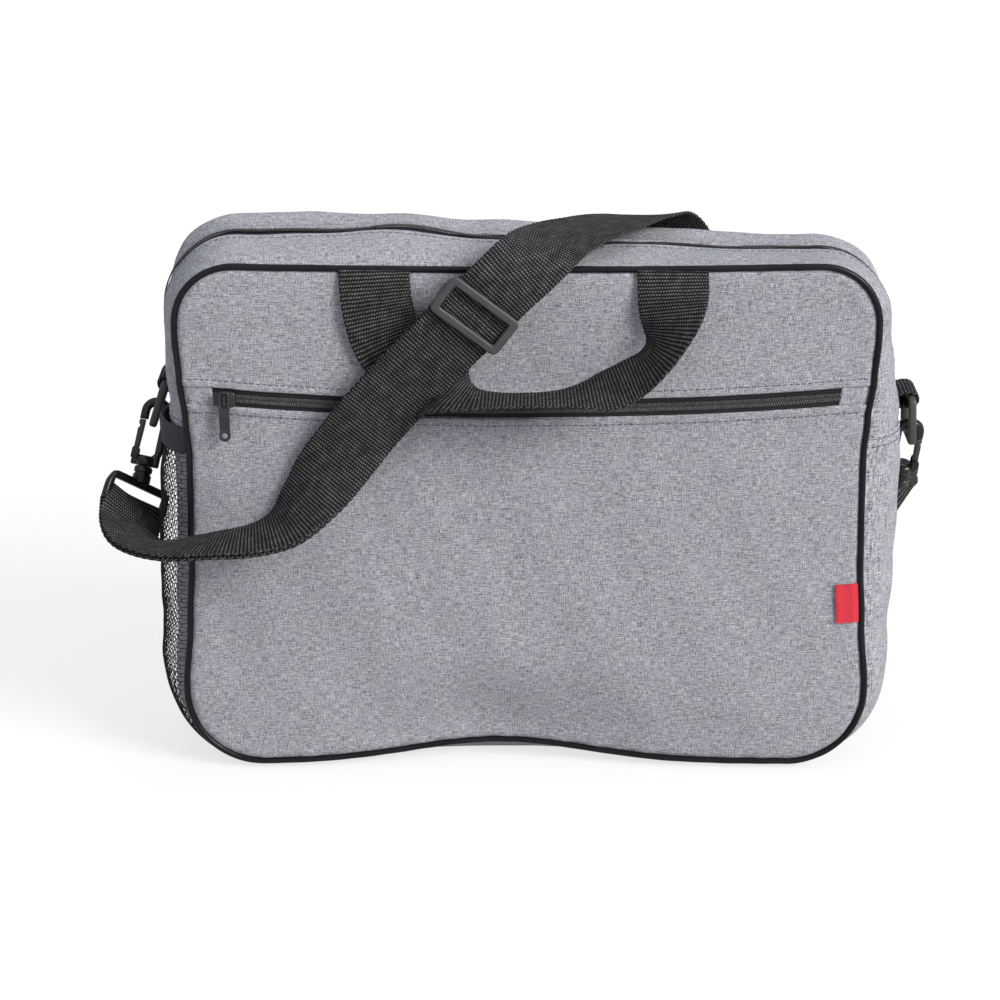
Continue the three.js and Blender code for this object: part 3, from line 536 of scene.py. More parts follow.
def newMesh(name, points, faces, uv=None):      # points and uv in millimetres
    mesh = bpy.data.meshes.new(name)
    corners = np.asarray(points, float).reshape(-1, 3)
    faces = [np.asarray(f, int) for f in faces] if isinstance(faces, list) else [np.asarray(faces, int)]
    mesh.from_pydata((corners * mm).tolist(), [], [f for part in faces for f in part.tolist()])
    if uv is not None:
        order = np.empty(len(mesh.loops), int)
        mesh.loops.foreach_get("vertex_index", order)
        layer = mesh.uv_layers.new(name="weave")
        layer.data.foreach_set("uv", (np.asarray(uv, float).reshape(-1, 2)[order] * mm).ravel())
    mesh.polygons.foreach_set("use_smooth", np.full(len(mesh.polygons), True))
    mesh.validate()
    return added(name, mesh)


def facesOut(obj, merge=0.0):      # doubles merged if asked for, then every face turned outwards
    selectOnly(obj)
    bpy.ops.object.mode_set(mode="EDIT")
    bpy.ops.mesh.select_all(action="SELECT")
    if merge:
        bpy.ops.mesh.remove_doubles(threshold=merge)
    bpy.ops.mesh.normals_make_consistent(inside=False)
    bpy.ops.object.mode_set(mode="OBJECT")


def dress(obj, look, slot, stands=(), rides="bag"):
    obj.data.materials.clear()
    obj.data.materials.append(look)
    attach(obj, rides)
    if stands:
        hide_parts(*stands)
    return obj


def gridFaces(rows, cols, closeRows=False, closeCols=False):
    row = np.arange(rows if closeRows else rows - 1)
    col = np.arange(cols if closeCols else cols - 1)
    a, b = np.meshgrid(row, col, indexing="ij")
    nextRow = (a + 1) % rows
    nextCol = (b + 1) % cols
    quads = np.stack((a * cols + b, nextRow * cols + b, nextRow * cols + nextCol, a * cols + nextCol), -1)
    return quads.reshape(-1, 4)


def outwards(points, quads):      # turned so that the faces point out
    p = points.reshape(-1, 3)
    a, b, c, d = (p[quads[:, k]] for k in range(4))
    volume = np.sum(a * np.cross(b, c)) + np.sum(a * np.cross(c, d))
    return quads if volume > 0 else quads[:, ::-1]


def clothWall(name, skin, uv, thick, inward):      # a wall of cloth under a grid of outer points
    rows, cols = skin.shape[:2]
    normal = unit(np.cross(np.gradient(skin, axis=0), np.gradient(skin, axis=1)))
    lining = skin + inward * thick * normal
    count = rows * cols
    face = gridFaces(rows, cols)
    index = np.arange(count).reshape(rows, cols)
    ring = np.concatenate((index[0, :-1], index[:-1, -1], index[-1, :0:-1], index[:0:-1, 0]))
    following = np.roll(ring, -1)
    rim = np.stack((following, ring, ring + count, following + count), -1)
    points = np.concatenate((skin.reshape(-1, 3), lining.reshape(-1, 3)))
    quads = np.concatenate((face, face[:, ::-1] + count, rim))
    flat = uv.reshape(-1, 2)
    return newMesh(name, points, outwards(points, quads), np.concatenate((flat, flat)))


def capsule(length, radius, sides=6, rings=2):      # a small rod with round ends along its X
    turn = np.linspace(0.0, quarter, rings + 1)[1:]
    out, wide = radius * np.cos(turn), radius * np.sin(turn)
    reach = np.concatenate((-length / 2 - out, length / 2 + out[::-1]))
    wide = np.concatenate((wide, wide[::-1]))
    angle = np.arange(sides) * 2 * math.pi / sides
    points = np.stack((np.repeat(reach, sides), np.outer(wide, np.cos(angle)).ravel(),
                       np.outer(wide, np.sin(angle)).ravel()), -1)
    tips = np.array(((-length / 2 - radius, 0, 0), (length / 2 + radius, 0, 0)))
    quads = gridFaces(len(reach), sides, closeCols=True)
    ring = np.arange(sides)
    low = np.stack((np.full(sides, len(points)), ring, (ring + 1) % sides), -1)
    top = (len(reach) - 1) * sides
    high = np.stack((np.full(sides, len(points) + 1), top + (ring + 1) % sides, top + ring), -1)
    return np.concatenate((points, tips)), quads[:, ::-1], np.concatenate((low, high))[:, ::-1]


def scatter(name, shape, places, first, second, third):      # copies of one small shape, joined
    points, quads, triangles = shape
    copies = (places[:, None] + points[None, :, :1] * first[:, None] + points[None, :, 1:2] * second[:, None]
              + points[None, :, 2:] * third[:, None])
    step = np.arange(len(places))[:, None, None] * len(points)
    return newMesh(name, copies, [(f[None] + step).reshape(-1, f.shape[1]) for f in (quads, triangles)])


def alongLine(points, normals, spacing):      # even places along a line, with its direction and normal
    far = distances(points)
    at = np.arange(spacing / 2, far[-1], spacing)
    way = unit(between(at + 0.2, far, points) - between(at - 0.2, far, points))
    normal = unit(square(between(at, far, normals), way))
    return between(at, far, points), way, normal


def surfaceLine(surface, u, flip=1.0):      # points and normals along a surface function's middle line
    along = surface(u + 0.3, 0.0) - surface(u - 0.3, 0.0)
    across = surface(u, 0.4) - surface(u, -0.4)
    return surface(u, 0.0), flip * unit(np.cross(along, across))


# Cloth panels of the front and back
panelSet = {
    "rim": 1.0, "step": 2.6, "dip": 1.5, "dipWidth": 2.2, "wave": 0.55, "waveSize": 85.0,
    "pucker": 0.26, "puckerSize": 15.0, "puckerReach": 8.0, "fine": 0.13, "fineSize": 24.0,
    "edge": (0, 0.4, 0.8, 1.3, 1.9, 2.7, 3.7, 5.0),
    "fold": (0, 0.2, 0.45, 0.8, 1.4, 2.2, 3.1, 3.8, 4.2, 4.5, 4.8, 5.2, 6.0, 7.2),
}
lipSet = {"height": 0.6, "stitchLine": 4.5, "groove": 0.42, "roll": 1.5, "pucker": 0.14, "puckerSize": 6.4}
zipSet = {"line": 221.7, "droop": 6.0, "band": 9.8, "half": 174.5}


def zipMiddle(x):
    return zipSet["line"] - zipSet["droop"] * np.maximum(1 - (x / zipSet["half"]) ** 2, 0.0)


def bandTop(x):
    return zipMiddle(x) + zipSet["band"] / 2


def bandBase(x):
    return zipMiddle(x) - zipSet["band"] / 2


def cornerDrop(x, radius):
    into = np.maximum(np.abs(x) - (halfWidth - panelSet["rim"] - radius), 0.0)
    return radius - np.sqrt(np.maximum(radius * radius - into * into, 0.0))


def topEdge(x):
    rim = panelSet["rim"]
    return body["topHeight"] - rim - cornerDrop(x, body["topCorner"] - rim)


def baseEdge(x):
    rim = panelSet["rim"]
    return body["baseHeight"] + rim + cornerDrop(x, body["baseCorner"] - rim)


def panelColumns():
    half = halfWidth - panelSet["rim"]
    edge = half - np.asarray(panelSet["edge"])
    bend = edge[-1] - np.cumsum(np.linspace(1.4, panelSet["step"], 12))
    inner = np.linspace(bend[-1], -bend[-1], int(2 * bend[-1] / panelSet["step"]))[1:-1]
    right = np.concatenate((edge, bend))
    return np.concatenate((-right, inner[::-1], right[::-1]))


def panelRows(low, high, lowSteps, highSteps):
    first = low[:, None] + np.asarray(lowSteps)[None]
    last = high[:, None] - np.asarray(highSteps)[None, ::-1]
    count = int(np.max(last[:, 0] - first[:, -1]) / panelSet["step"])
    share = np.linspace(0.0, 1.0, count)[None, 1:-1]
    return np.concatenate((first, mixed(first[:, -1:], last[:, :1], share), last), 1)


def zipLip(depth, along):      # the turned edge beside a zip: raised fold, stitched groove, rolled edge
    line = lipSet["stitchLine"]
    fold = lipSet["height"] * (1 - smooth(line - 0.4, line + 2.0, depth))
    groove = lipSet["groove"] * ridge(depth, line, 0.7)
    roll = lipSet["roll"] * (1 - smooth(0.0, 1.0, depth)) ** 2
    wave = np.sin(2 * math.pi * along / lipSet["puckerSize"] + 2 * np.sin(along / 23))
    return fold - groove - roll + lipSet["pucker"] * wave * ridge(depth, line, 3.2)


def panelLift(x, z, seed):
    inside = rimDistance(x, z)
    sunk = panelSet["dip"] * ridge(np.maximum(inside - 0.6, 0.0), 0.0, panelSet["dipWidth"])
    pucker = panelSet["pucker"] * ripple(x, z, panelSet["puckerSize"], seed + 1)
    pucker = pucker * np.exp(-np.maximum(inside, 0.0) / panelSet["puckerReach"])
    wave = panelSet["wave"] * ripple(x, z, panelSet["waveSize"], seed) * smooth(1.0, 30.0, inside)
    fine = panelSet["fine"] * ripple(x, z, panelSet["fineSize"], seed + 2) * smooth(2.0, 12.0, inside)
    return wave + pucker + fine - sunk


def clothPanel(name, low, high, lowSteps, highSteps, facing, pillow, seed, lips):
    x = panelColumns()
    z = panelRows(low(x), high(x), lowSteps, highSteps)
    x = np.broadcast_to(x[:, None], z.shape)
    lift = panelLift(x, z, seed)
    for edge, way in lips:
        lift = lift + zipLip(way * (z - edge(x)), x)
    skin = panelPoint(x, z, facing, pillow, lift)
    panel = clothWall(name + "_cloth", skin, flatMap(x, z), body["wall"], facing)
    return dress(panel, heather, "heather_cloth", (name,))


def makePanels():
    edge, fold = panelSet["edge"], panelSet["fold"]
    front = (-1, body["frontPillow"], waveSeeds["front"])
    back = (1, body["backPillow"], waveSeeds["back"])
    lower = clothPanel("front_lower", baseEdge, bandBase, edge, fold, *front, [(bandBase, -1)])
    upper = clothPanel("front_upper", bandTop, topEdge, fold, edge, *front, [(bandTop, 1)])
    rear = clothPanel("back_panel", baseEdge, topEdge, edge, edge, *back, [])


makePanels()
print("stage: panels sewn")


# Gussets round the sides, with the main zip between the two upper ones
gussetSet = {
    "step": 2.6, "tuck": 39.0, "wave": 0.5, "waveSize": 62.0, "pucker": 0.3, "puckerSize": 13.0,
    "puckerReach": 6.0, "fine": 0.1, "fineSize": 21.0, "zipFront": 0.43, "zipBack": 0.57,
    "lap": 1.8, "lapLift": 1.0, "lapRoll": 0.9, "seamRows": (2.6, 7.0), "seamGroove": 0.4,
    "seamPucker": 0.16, "edge": (0, 0.5, 1.0, 1.7, 2.6, 3.8),
    "lapEdge": (0, 0.3, 0.7, 1.3, 2.0, 2.6, 3.2, 4.2, 5.4, 6.4, 7.0, 7.6, 8.8, 10.4),
}


def shareAt(y):
    return (y + gussetReach) / (2 * gussetReach)


def depthAt(share):
    return mixed(-gussetReach, gussetReach, share)


def gussetLift(along, y, seed):
    near = halfDepth - np.abs(y)
    wave = gussetSet["wave"] * ripple(along, y, gussetSet["waveSize"], seed) * smooth(1.0, 16.0, near)
    pucker = gussetSet["pucker"] * ripple(along, y, gussetSet["puckerSize"], seed + 1)
    pucker = pucker * np.exp(-np.maximum(near - 1, 0.0) / gussetSet["puckerReach"])
    return wave + pucker + gussetSet["fine"] * ripple(along, y, gussetSet["fineSize"], seed + 2)


def gussetCloth(name, node, along, y, lift):
    skin = gussetPoint(along[:, None], shareAt(y)[None], lift)
    wall = clothWall(name, skin, flatMap(along[:, None], y[None]), body["wall"], 1)
    return dress(wall, heather, "heather_cloth", (node,))


def acrossSteps(first, last, firstSteps, lastSteps):      # depths with fine rows beside both edges
    low = first + np.asarray(firstSteps, float)
    high = last - np.asarray(lastSteps, float)[::-1]
    count = max(int((high[0] - low[-1]) / gussetSet["step"]), 3)
    return np.concatenate((low, np.linspace(low[-1], high[0], count)[1:-1], high))


def makeGussets():
    tuck, edge, fold = gussetSet["tuck"], gussetSet["edge"], panelSet["fold"]
    over = np.linspace(rightSeamAt, leftSeamAt, int((leftSeamAt - rightSeamAt) / gussetSet["step"]))
    frontLip, backLip = depthAt(gussetSet["zipFront"]), depthAt(gussetSet["zipBack"])
    front = acrossSteps(-tuck, frontLip, edge, fold)
    lift = gussetLift(over[:, None], front[None], waveSeeds["topFront"])
    lift = lift + zipLip(frontLip - front[None], over[:, None])
    first = gussetCloth("gusset_top_front_cloth", "gusset_top_front", over, front, lift)
    back = acrossSteps(backLip, tuck, fold, edge)
    lift = gussetLift(over[:, None], back[None], waveSeeds["topBack"])
    lift = lift + zipLip(back[None] - backLip, over[:, None])
    second = gussetCloth("gusset_top_back_cloth", "gusset_top_back", over, back, lift)
    start = leftSeamAt - gussetSet["lap"]
    end = outlineLength + rightSeamAt + gussetSet["lap"]
    fine = np.asarray(gussetSet["lapEdge"])
    count = int((end - start - 2 * fine[-1]) / gussetSet["step"])
    middle = np.linspace(start + fine[-1], end - fine[-1], count)[1:-1]
    under = np.concatenate((start + fine, middle, end - fine[::-1]))
    y = acrossSteps(-tuck, tuck, edge, edge)
    near = np.minimum(under - start, end - under)[:, None]
    lap = gussetSet["lapLift"] * (1 - smooth(7.5, 12.0, near))
    lap = lap - gussetSet["lapRoll"] * (1 - smooth(0.0, 1.2, near)) ** 2
    for row in gussetSet["seamRows"]:
        lap = lap - gussetSet["seamGroove"] * ridge(near, row, 0.7)
    pucker = np.sin(2 * math.pi * y[None] / 6.0 + under[:, None]) * ridge(near, 5.0, 4.0)
    lap = lap + gussetSet["seamPucker"] * pucker
    lift = gussetLift(under[:, None], y[None], waveSeeds["lower"]) + lap
    third = gussetCloth("gusset_lower_cloth", "gusset_lower", under, y, lift)


makeGussets()
print("stage: gussets sewn")


# Piping: a covered cord round each rim
pipingSet = {"radius": 1.8, "step": 2.4, "sides": 16, "wobble": 0.07, "lean": 0.35}


def makePiping(name, node, y):
    along = np.linspace(0.0, outlineLength, int(outlineLength / pipingSet["step"]), endpoint=False)[:, None]
    x, z, nx, nz = outlineAt(along)
    angle = (np.arange(pipingSet["sides"]) * 2 * math.pi / pipingSet["sides"])[None]
    radius = pipingSet["radius"] + pipingSet["wobble"] * ripple(along, angle * 4, 17.0, waveSeeds["piping"])
    out = radius * np.cos(angle)
    points = slump(x + nx * out, y + radius * np.sin(angle), z + nz * out)
    quads = gridFaces(*points.shape[:2], closeRows=True, closeCols=True)
    # the first uv coordinate runs from the cord's crown to its root and places the painted shade at the root
    lean = 0.5 - 0.5 * np.cos(angle - math.copysign(pipingSet["lean"], y))
    uv = flatMap(lean, along) / mm
    dress(newMesh(name, points, outwards(points, quads), uv), vinyl, "piping_vinyl", (node,))


makePiping("front_piping_cord", "piping_front", -halfDepth)
makePiping("back_piping_cord", "piping_back", halfDepth)
print("stage: piping laid")


# Zips: a sunk tape and two rows of slanting coil teeth
coilSet = {"pitch": 1.3, "mainShare": 1.15, "row": 1.2, "length": 1.7, "radius": 0.46, "slant": 24.0,
           "stand": 0.75, "mainInset": 3.0}
tapeSet = {
    "drop": 1.25, "thick": 0.7, "trough": 0.25, "troughHalf": 2.4, "pocketEnd": 1.5, "mainEnd": 4.0,
    "pocketRows": (-5.7, -5.0, -4.2, -3.4, -2.6, -2.2, -1.0, 0.0, 1.0, 2.2, 2.6, 3.4, 4.2, 5.0, 5.7),
    "mainRows": (-6.2, -5.4, -4.4, -3.4, -2.6, -2.2, 0.0, 2.2, 2.6, 3.4, 4.4, 5.4, 6.2),
}


def coilTeeth(name, place, ways, normals, look, slot):
    shape = capsule(coilSet["length"], coilSet["radius"])
    across = np.cross(normals, ways)
    slant = math.radians(coilSet["slant"])
    places, first = [], []
    for side, shift in ((1, 0.0), (-1, 0.5)):
        ahead = np.roll(place, -1, axis=0)
        ahead[-1] = place[-1]
        places.append(mixed(place, ahead, shift) + side * coilSet["row"] * across)
        first.append(math.cos(slant) * across + side * math.sin(slant) * ways)
    first = unit(np.concatenate(first))
    third = np.concatenate((normals, normals))
    teeth = scatter(name, shape, np.concatenate(places), first, np.cross(third, first), third)
    return dress(teeth, look, slot)


def tapeSink(t):      # sunk below the cloth, a little more under the coil
    return -tapeSet["drop"] - tapeSet["trough"] * (np.abs(t) < tapeSet["troughHalf"])


def makePocketZip():
    reach = zipSet["half"] + tapeSet["pocketEnd"]
    x = np.linspace(-reach, reach, 190)
    t = np.asarray(tapeSet["pocketRows"])
    z = zipMiddle(x)[:, None] + t[None]
    lift = tapeSink(t)[None] + panelLift(x[:, None], z, waveSeeds["front"])
    skin = panelPoint(x[:, None], z, -1, body["frontPillow"], lift)
    wall = clothWall("pocket_zip_tape", skin, flatMap(x[:, None], t[None]), tapeSet["thick"], -1)
    tape = dress(wall, tapeLook, "zip_tape", ("pocket_zip",))

    def surface(u, v):
        height = zipMiddle(u) + v
        lift = panelLift(u, height, waveSeeds["front"]) - tapeSet["drop"] + coilSet["stand"]
        return panelPoint(u, height, -1, body["frontPillow"], lift)

    line = np.linspace(-zipSet["half"], zipSet["half"], 400)
    teeth = alongLine(*surfaceLine(surface, line), coilSet["pitch"])
    coilTeeth("pocket_zip_coil", *teeth, pocketCoil, "zip_tape")


zipStand = {      # how far the main zip stands up along the top
    "x": (-190, -150, -118, -92, -74, -45, -10, 60, 110, 190),
    "off": (1.6, 1.8, 1.2, 0.4, 2.0, 2.0, 0.3, 0.2, 1.0, 1.2),
}


def makeMainZip():
    along = np.linspace(rightSeamAt - tapeSet["mainEnd"], leftSeamAt + tapeSet["mainEnd"], 230)
    t = np.asarray(tapeSet["mainRows"])
    lift = tapeSink(t)[None] + gussetLift(along[:, None], t[None], waveSeeds["topFront"])
    lift = lift + column(zipStand, "x", "off", outlineAt(along)[0])[:, None] * ridge(t, 0.0, 3.0)[None]
    skin = gussetPoint(along[:, None], shareAt(t)[None], lift)
    wall = clothWall("main_zip_tape", skin, flatMap(along[:, None], t[None]), tapeSet["thick"], 1)
    tape = dress(wall, tapeLook, "zip_tape", ("main_zip",))

    def surface(u, v):
        lift = gussetLift(u, v, waveSeeds["topFront"]) - tapeSet["drop"] + coilSet["stand"]
        return gussetPoint(u, shareAt(v), lift + column(zipStand, "x", "off", outlineAt(u)[0]))

    line = np.linspace(rightSeamAt + coilSet["mainInset"], leftSeamAt - coilSet["mainInset"], 500)
    pitch = coilSet["pitch"] * coilSet["mainShare"]
    teeth = alongLine(*surfaceLine(surface, line, -1.0), pitch)
    coilTeeth("main_zip_coil", *teeth, shadedMainCoil, "zip_tape")


makePocketZip()
makeMainZip()
print("stage: zips laid")


# Cloth tabs over the ends of the pocket zip
zipTabSet = {
    "inner": 172.2, "outer": 189.0, "reach": 5.8, "foldLine": 3.2, "fold": 0.5, "sink": 0.35, "thick": 0.9,
    "rows": (0, 0.25, 0.6, 1.2, 2.0, 2.8, 3.2, 3.6, 4.4, 5.6),
}


def makeZipTab(name, node, side):
    near, long = np.asarray(zipTabSet["rows"]), zipTabSet["outer"] - zipTabSet["inner"]
    x = np.concatenate((near, np.linspace(near[-1], long, 8)[1:]))
    t = np.linspace(-zipTabSet["reach"], zipTabSet["reach"], 14)
    depth, line = x[:, None], zipTabSet["foldLine"]
    place = side * (zipTabSet["inner"] + x)[:, None]
    z = zipMiddle(place) + t[None]
    fold = zipTabSet["fold"] * (1 - smooth(line, line + 1.6, depth))
    roll = 0.9 * (1 - smooth(0.0, 0.8, depth)) ** 2 + 0.3 * ridge(depth, line, 0.5)
    sunk = panelSet["dip"] * ridge(long - depth, 0.0, panelSet["dipWidth"])
    lift = -zipTabSet["sink"] + fold - roll - sunk - 0.4 * smooth(4.2, 5.8, np.abs(t))[None]
    lift = lift + panelLift(place, z, waveSeeds["front"]) * 0.5
    skin = panelPoint(place, z, -1, body["frontPillow"], lift)
    wall = clothWall(name, skin, flatMap(z, place), zipTabSet["thick"], -side)
    tab = dress(wall, heather, "heather_cloth", (node,))


makeZipTab("zip_tab_left_cloth", "zip_tab_left", -1)
makeZipTab("zip_tab_right_cloth", "zip_tab_right", 1)


# Net pocket on the left gusset with its elastic edge
netSet = {"cell": 2.9, "thread": 0.58, "top": 188.0, "turn": 54.0, "wide": 78.0, "clear": 0.49, "wall": 1.2,
          "sway": 0.35}
bindingSet = {"low": 187.6, "high": 203.0, "thick": 2.0, "rib": 1.45, "ribHeight": 0.13}


def netOff(along, share):
    _, z, nx, _ = outlineAt(along)
    inside = np.clip(share, 0.0, 1.0)
    stand = column(netStand, "z", "off", z) * np.maximum(np.sin(math.pi * inside ** 0.7), 0.0)
    return netSet["clear"] + nx * nx * stand


def leftHeightAt(z):
    return leftSideAt + topZ - z


def makeNet():
    wide, cell = netSet["wide"], netSet["cell"]
    radius = cell / math.sqrt(3)
    start = leftHeightAt(netSet["top"] + 3.0)
    end = leftHeightAt(baseZ) + body["baseCorner"] * math.radians(netSet["turn"])
    rows = int((end - start) / (1.5 * radius))
    cols = int(wide / cell)
    row, col = np.meshgrid(np.arange(rows), np.arange(cols), indexing="ij")
    u = (col + 0.5 * (row % 2)) * cell
    v = row * 1.5 * radius
    angle = np.radians(30 + 60 * np.arange(6))
    corners = np.stack((u[..., None] + radius * np.cos(angle), v[..., None] + radius * np.sin(angle)), -1)
    flat, index = np.unique(corners.reshape(-1, 2).round(3), axis=0, return_inverse=True)
    share = np.clip(flat[:, 0] / (cols * cell), -0.015, 1.015)
    along = start + flat[:, 1]
    sway = netSet["sway"] * ripple(along, share * 60, 26.0, waveSeeds["net"]) * np.sin(math.pi * share)
    points = gussetPoint(along, share, netOff(along, share) + netSet["wall"] / 2 + sway)
    net = newMesh("side_net", points, index.reshape(-1, 6)[:, ::-1])
    selectOnly(net)
    threads = net.modifiers.new("threads", "WIREFRAME")
    threads.thickness = netSet["thread"] * mm
    threads.use_even_offset = False
    threads.use_boundary = True
    bpy.ops.object.modifier_apply(modifier=threads.name)
    dress(net, netLook, "pocket_net", ("mesh_pocket",))
    print("stage: net knotted,", len(net.data.polygons), "faces")


def makeBinding():
    low, high, thick = bindingSet["low"], bindingSet["high"], bindingSet["thick"]
    z = np.linspace(high, low, 46)
    y = acrossSteps(-gussetReach - 0.6, gussetReach + 0.6, (0, 0.8, 1.6), (0, 0.8, 1.6))
    along = leftHeightAt(z)[:, None]
    share = shareAt(y)[None]
    rib = bindingSet["ribHeight"] * np.cos(2 * math.pi * (z - low) / bindingSet["rib"])[:, None]
    near = np.minimum(z - low, high - z)[:, None]
    roll = 0.8 * (1 - smooth(0.0, 1.6, near)) ** 2
    wave = 0.5 * ripple(along, y[None], 34.0, waveSeeds["binding"])
    wave = wave * np.sin(math.pi * np.clip(share, 0.0, 1.0))
    skin = gussetPoint(along, share, netOff(along, share) + thick + rib - roll + wave)
    wall = clothWall("net_binding", skin, flatMap(y[None], z[:, None]), thick - 0.5, 1)
    binding = dress(wall, elastic, "elastic_binding", ("mesh_binding",))


makeNet()
makeBinding()
print("stage: net pocket made")


# Plain folded tag caught under the right piping
labelSet = {"left": 175.2, "right": 188.4, "low": 90.0, "high": 113.0, "thick": 0.9, "clear": 0.3,
            "curl": 0.7, "tuck": 1.2, "tuckAt": 184.5}


def makeLabel():
    x = np.linspace(labelSet["left"], labelSet["right"], 26)[:, None]
    z = np.linspace(labelSet["low"], labelSet["high"], 36)[None]
    free = 1 - smooth(labelSet["left"], labelSet["right"] - 4, x)
    fold = labelSet["thick"] * 0.45 * (1 - smooth(0.0, 0.9, x - labelSet["left"])) ** 2
    selvedge = 0.12 * ridge(np.minimum(z - labelSet["low"], labelSet["high"] - z), 0.9, 0.5)
    wave = 0.16 * ripple(x, z, 14.0, waveSeeds["label"]) * free
    sunk = labelSet["tuck"] * smooth(labelSet["tuckAt"], labelSet["right"], x)
    lift = labelSet["clear"] + labelSet["thick"] + labelSet["curl"] * free ** 2
    skin = panelPoint(x, z, -1, body["frontPillow"], lift - fold + selvedge + wave - sunk)
    wall = clothWall("side_tag", skin, flatMap(x, z), labelSet["thick"] * 0.85, -1)
    tag = dress(wall, redTag, "red_label", ("label_tag",))


makeLabel()
print("stage: tag sewn in")


# Webbing: a listed route, a bumpy woven ribbon along it
ribbonSet = {"bump": 0.1, "edge": 0.4, "notch": 0.18, "thick": 1.6, "width": 38.0}


def throughRows(rows, at):      # the frame's own curve through a list of rows
    rows = np.asarray(rows, float)
    ends = np.concatenate((2 * rows[:1] - rows[1:2], rows, 2 * rows[-1:] - rows[-2:-1]))
    part = np.minimum(at.astype(int), len(rows) - 2)
    share = (at - part)[:, None]
    p0, p1, p2, p3 = (ends[part + k] for k in range(4))
    pairs = ((p0, p1), (p1, p2), (p2, p3))
    d0, d1, d2 = (np.linalg.norm(b - a, axis=1, keepdims=True) ** 0.5 for a, b in pairs)
    d1 = np.where(d1 < 1e-2, 1.0, d1)
    d0, d2 = (np.where(d < 1e-2, d1, d) for d in (d0, d2))
    t1 = ((p1 - p0) / d0 - (p2 - p0) / (d0 + d1) + (p2 - p1) / d1) * d1
    t2 = ((p2 - p1) / d1 - (p3 - p1) / (d1 + d2) + (p3 - p2) / d2) * d1
    c2 = 3 * (p2 - p1) - 2 * t1 - t2
    c3 = 2 * (p1 - p2) + t1 + t2
    return p1 + t1 * share + c2 * share ** 2 + c3 * share ** 3


def routeFrames(route, perRow=24):
    rows = np.asarray(route, float)
    at = np.linspace(0.0, len(rows) - 1, (len(rows) - 1) * perRow + 1)
    points = throughRows(rows[:, :3], at)
    way = unit(np.gradient(points, axis=0))
    across = unit(square(throughRows(rows[:, 3:], at), way))
    return at, points, across, np.cross(way, across)


def evenly(points, across, spacing, passes):      # evenly spaced and eased, keeping both ends
    far = distances(points)
    at = np.linspace(0.0, far[-1], int(round(far[-1] / spacing)) + 1)
    points, across = between(at, far, points), between(at, far, across)
    for _ in range(passes):
        for line in (points, across):
            line[1:-1] = 0.25 * line[:-2] + 0.5 * line[1:-1] + 0.25 * line[2:]
    way = unit(np.gradient(points, axis=0))
    across = unit(square(across, way))
    return points, across, np.cross(way, across), far[-1]


def ribbonPiece(name, points, across, width, passes=2):
    thick = ribbonSet["thick"]
    points, across, normal, length = evenly(points, across, webSet["along"], passes)
    cols = int(round(width / webSet["across"] / 2)) * 2 + 1
    i, j = np.meshgrid(np.arange(len(points)), np.arange(cols), indexing="ij")
    sign = 1.0 - 2.0 * ((i + j) % 2)
    side = np.minimum(j, cols - 1 - j)
    high = thick / 2 + ribbonSet["bump"] * sign - ribbonSet["edge"] * (side == 0)
    low = thick / 2 - ribbonSet["bump"] * sign - ribbonSet["edge"] * (side == 0)
    out = (j / (cols - 1) - 0.5) * width
    out = out + np.sign(out) * (side == 0) * ribbonSet["notch"] * sign
    middle = points[:, None] + across[:, None] * out[..., None]
    top = middle + normal[:, None] * high[..., None]
    base = middle - normal[:, None] * low[..., None]
    ring = np.concatenate((top, base[:, ::-1]), 1)
    uv = np.stack((j * webSet["across"], i * webSet["along"]), -1)
    under = np.stack((j * webSet["across"], (i + 1) * webSet["along"]), -1)
    uv = np.concatenate((uv, under[:, ::-1]), 1)
    wide = 2 * cols
    quads = gridFaces(len(points), wide, closeCols=True)
    j = np.arange(cols - 1)
    cap = np.stack((j, j + 1, wide - 2 - j, wide - 1 - j), -1)
    caps = np.concatenate((cap, cap[:, ::-1] + (len(points) - 1) * wide))
    if np.mean(outwards(ring, quads) == quads) > 0.5:
        caps = caps[:, ::-1]
    piece = newMesh(name, ring, np.concatenate((outwards(ring, quads), caps)), uv)
    facesOut(piece)
    return piece, length


handleRoute = (      # x, y, z, then the way the width points
    (-81.4, -39.8, 293.0, 1, 0, 0), (-81.3, -43.0, 289.0, 1, 0, 0), (-79.5, -47.2, 272.0, 1, 0, 0.05),
    (-74.0, -48.8, 254.0, 0.93, 0, 0.36), (-63.0, -49.2, 239.0, 0.74, 0.02, 0.67),
    (-52.0, -51.2, 232.0, 0.5, 0.25, 0.83), (-42.0, -62.5, 230.0, 0.12, 0.92, 0.36),
    (-31.0, -66.5, 228.4, 0.05, 0.98, 0.02), (-18.0, -67.2, 227.6, 0.02, 0.985, -0.1),
    (-3.0, -67.6, 227.6, 0, 0.985, -0.12), (15.0, -67.6, 228.4, -0.04, 0.98, -0.1),
    (30.0, -67.4, 230.4, -0.1, 0.99, 0.02), (43.0, -66.8, 233.0, -0.18, 0.95, 0.25),
    (54.5, -66.2, 238.3, -0.22, 0.94, 0.24), (65.0, -66.0, 246.0, -0.28, 0.95, 0.08),
    (72.5, -64.0, 256.0, -0.46, 0.88, -0.1), (76.4, -58.8, 267.3, -0.76, 0.64, -0.1),
    (77.6, -50.2, 278.5, -0.96, 0.28, 0), (77.7, -43.0, 288.6, -1, 0, 0), (77.7, -39.8, 292.8, -1, 0, 0),
)
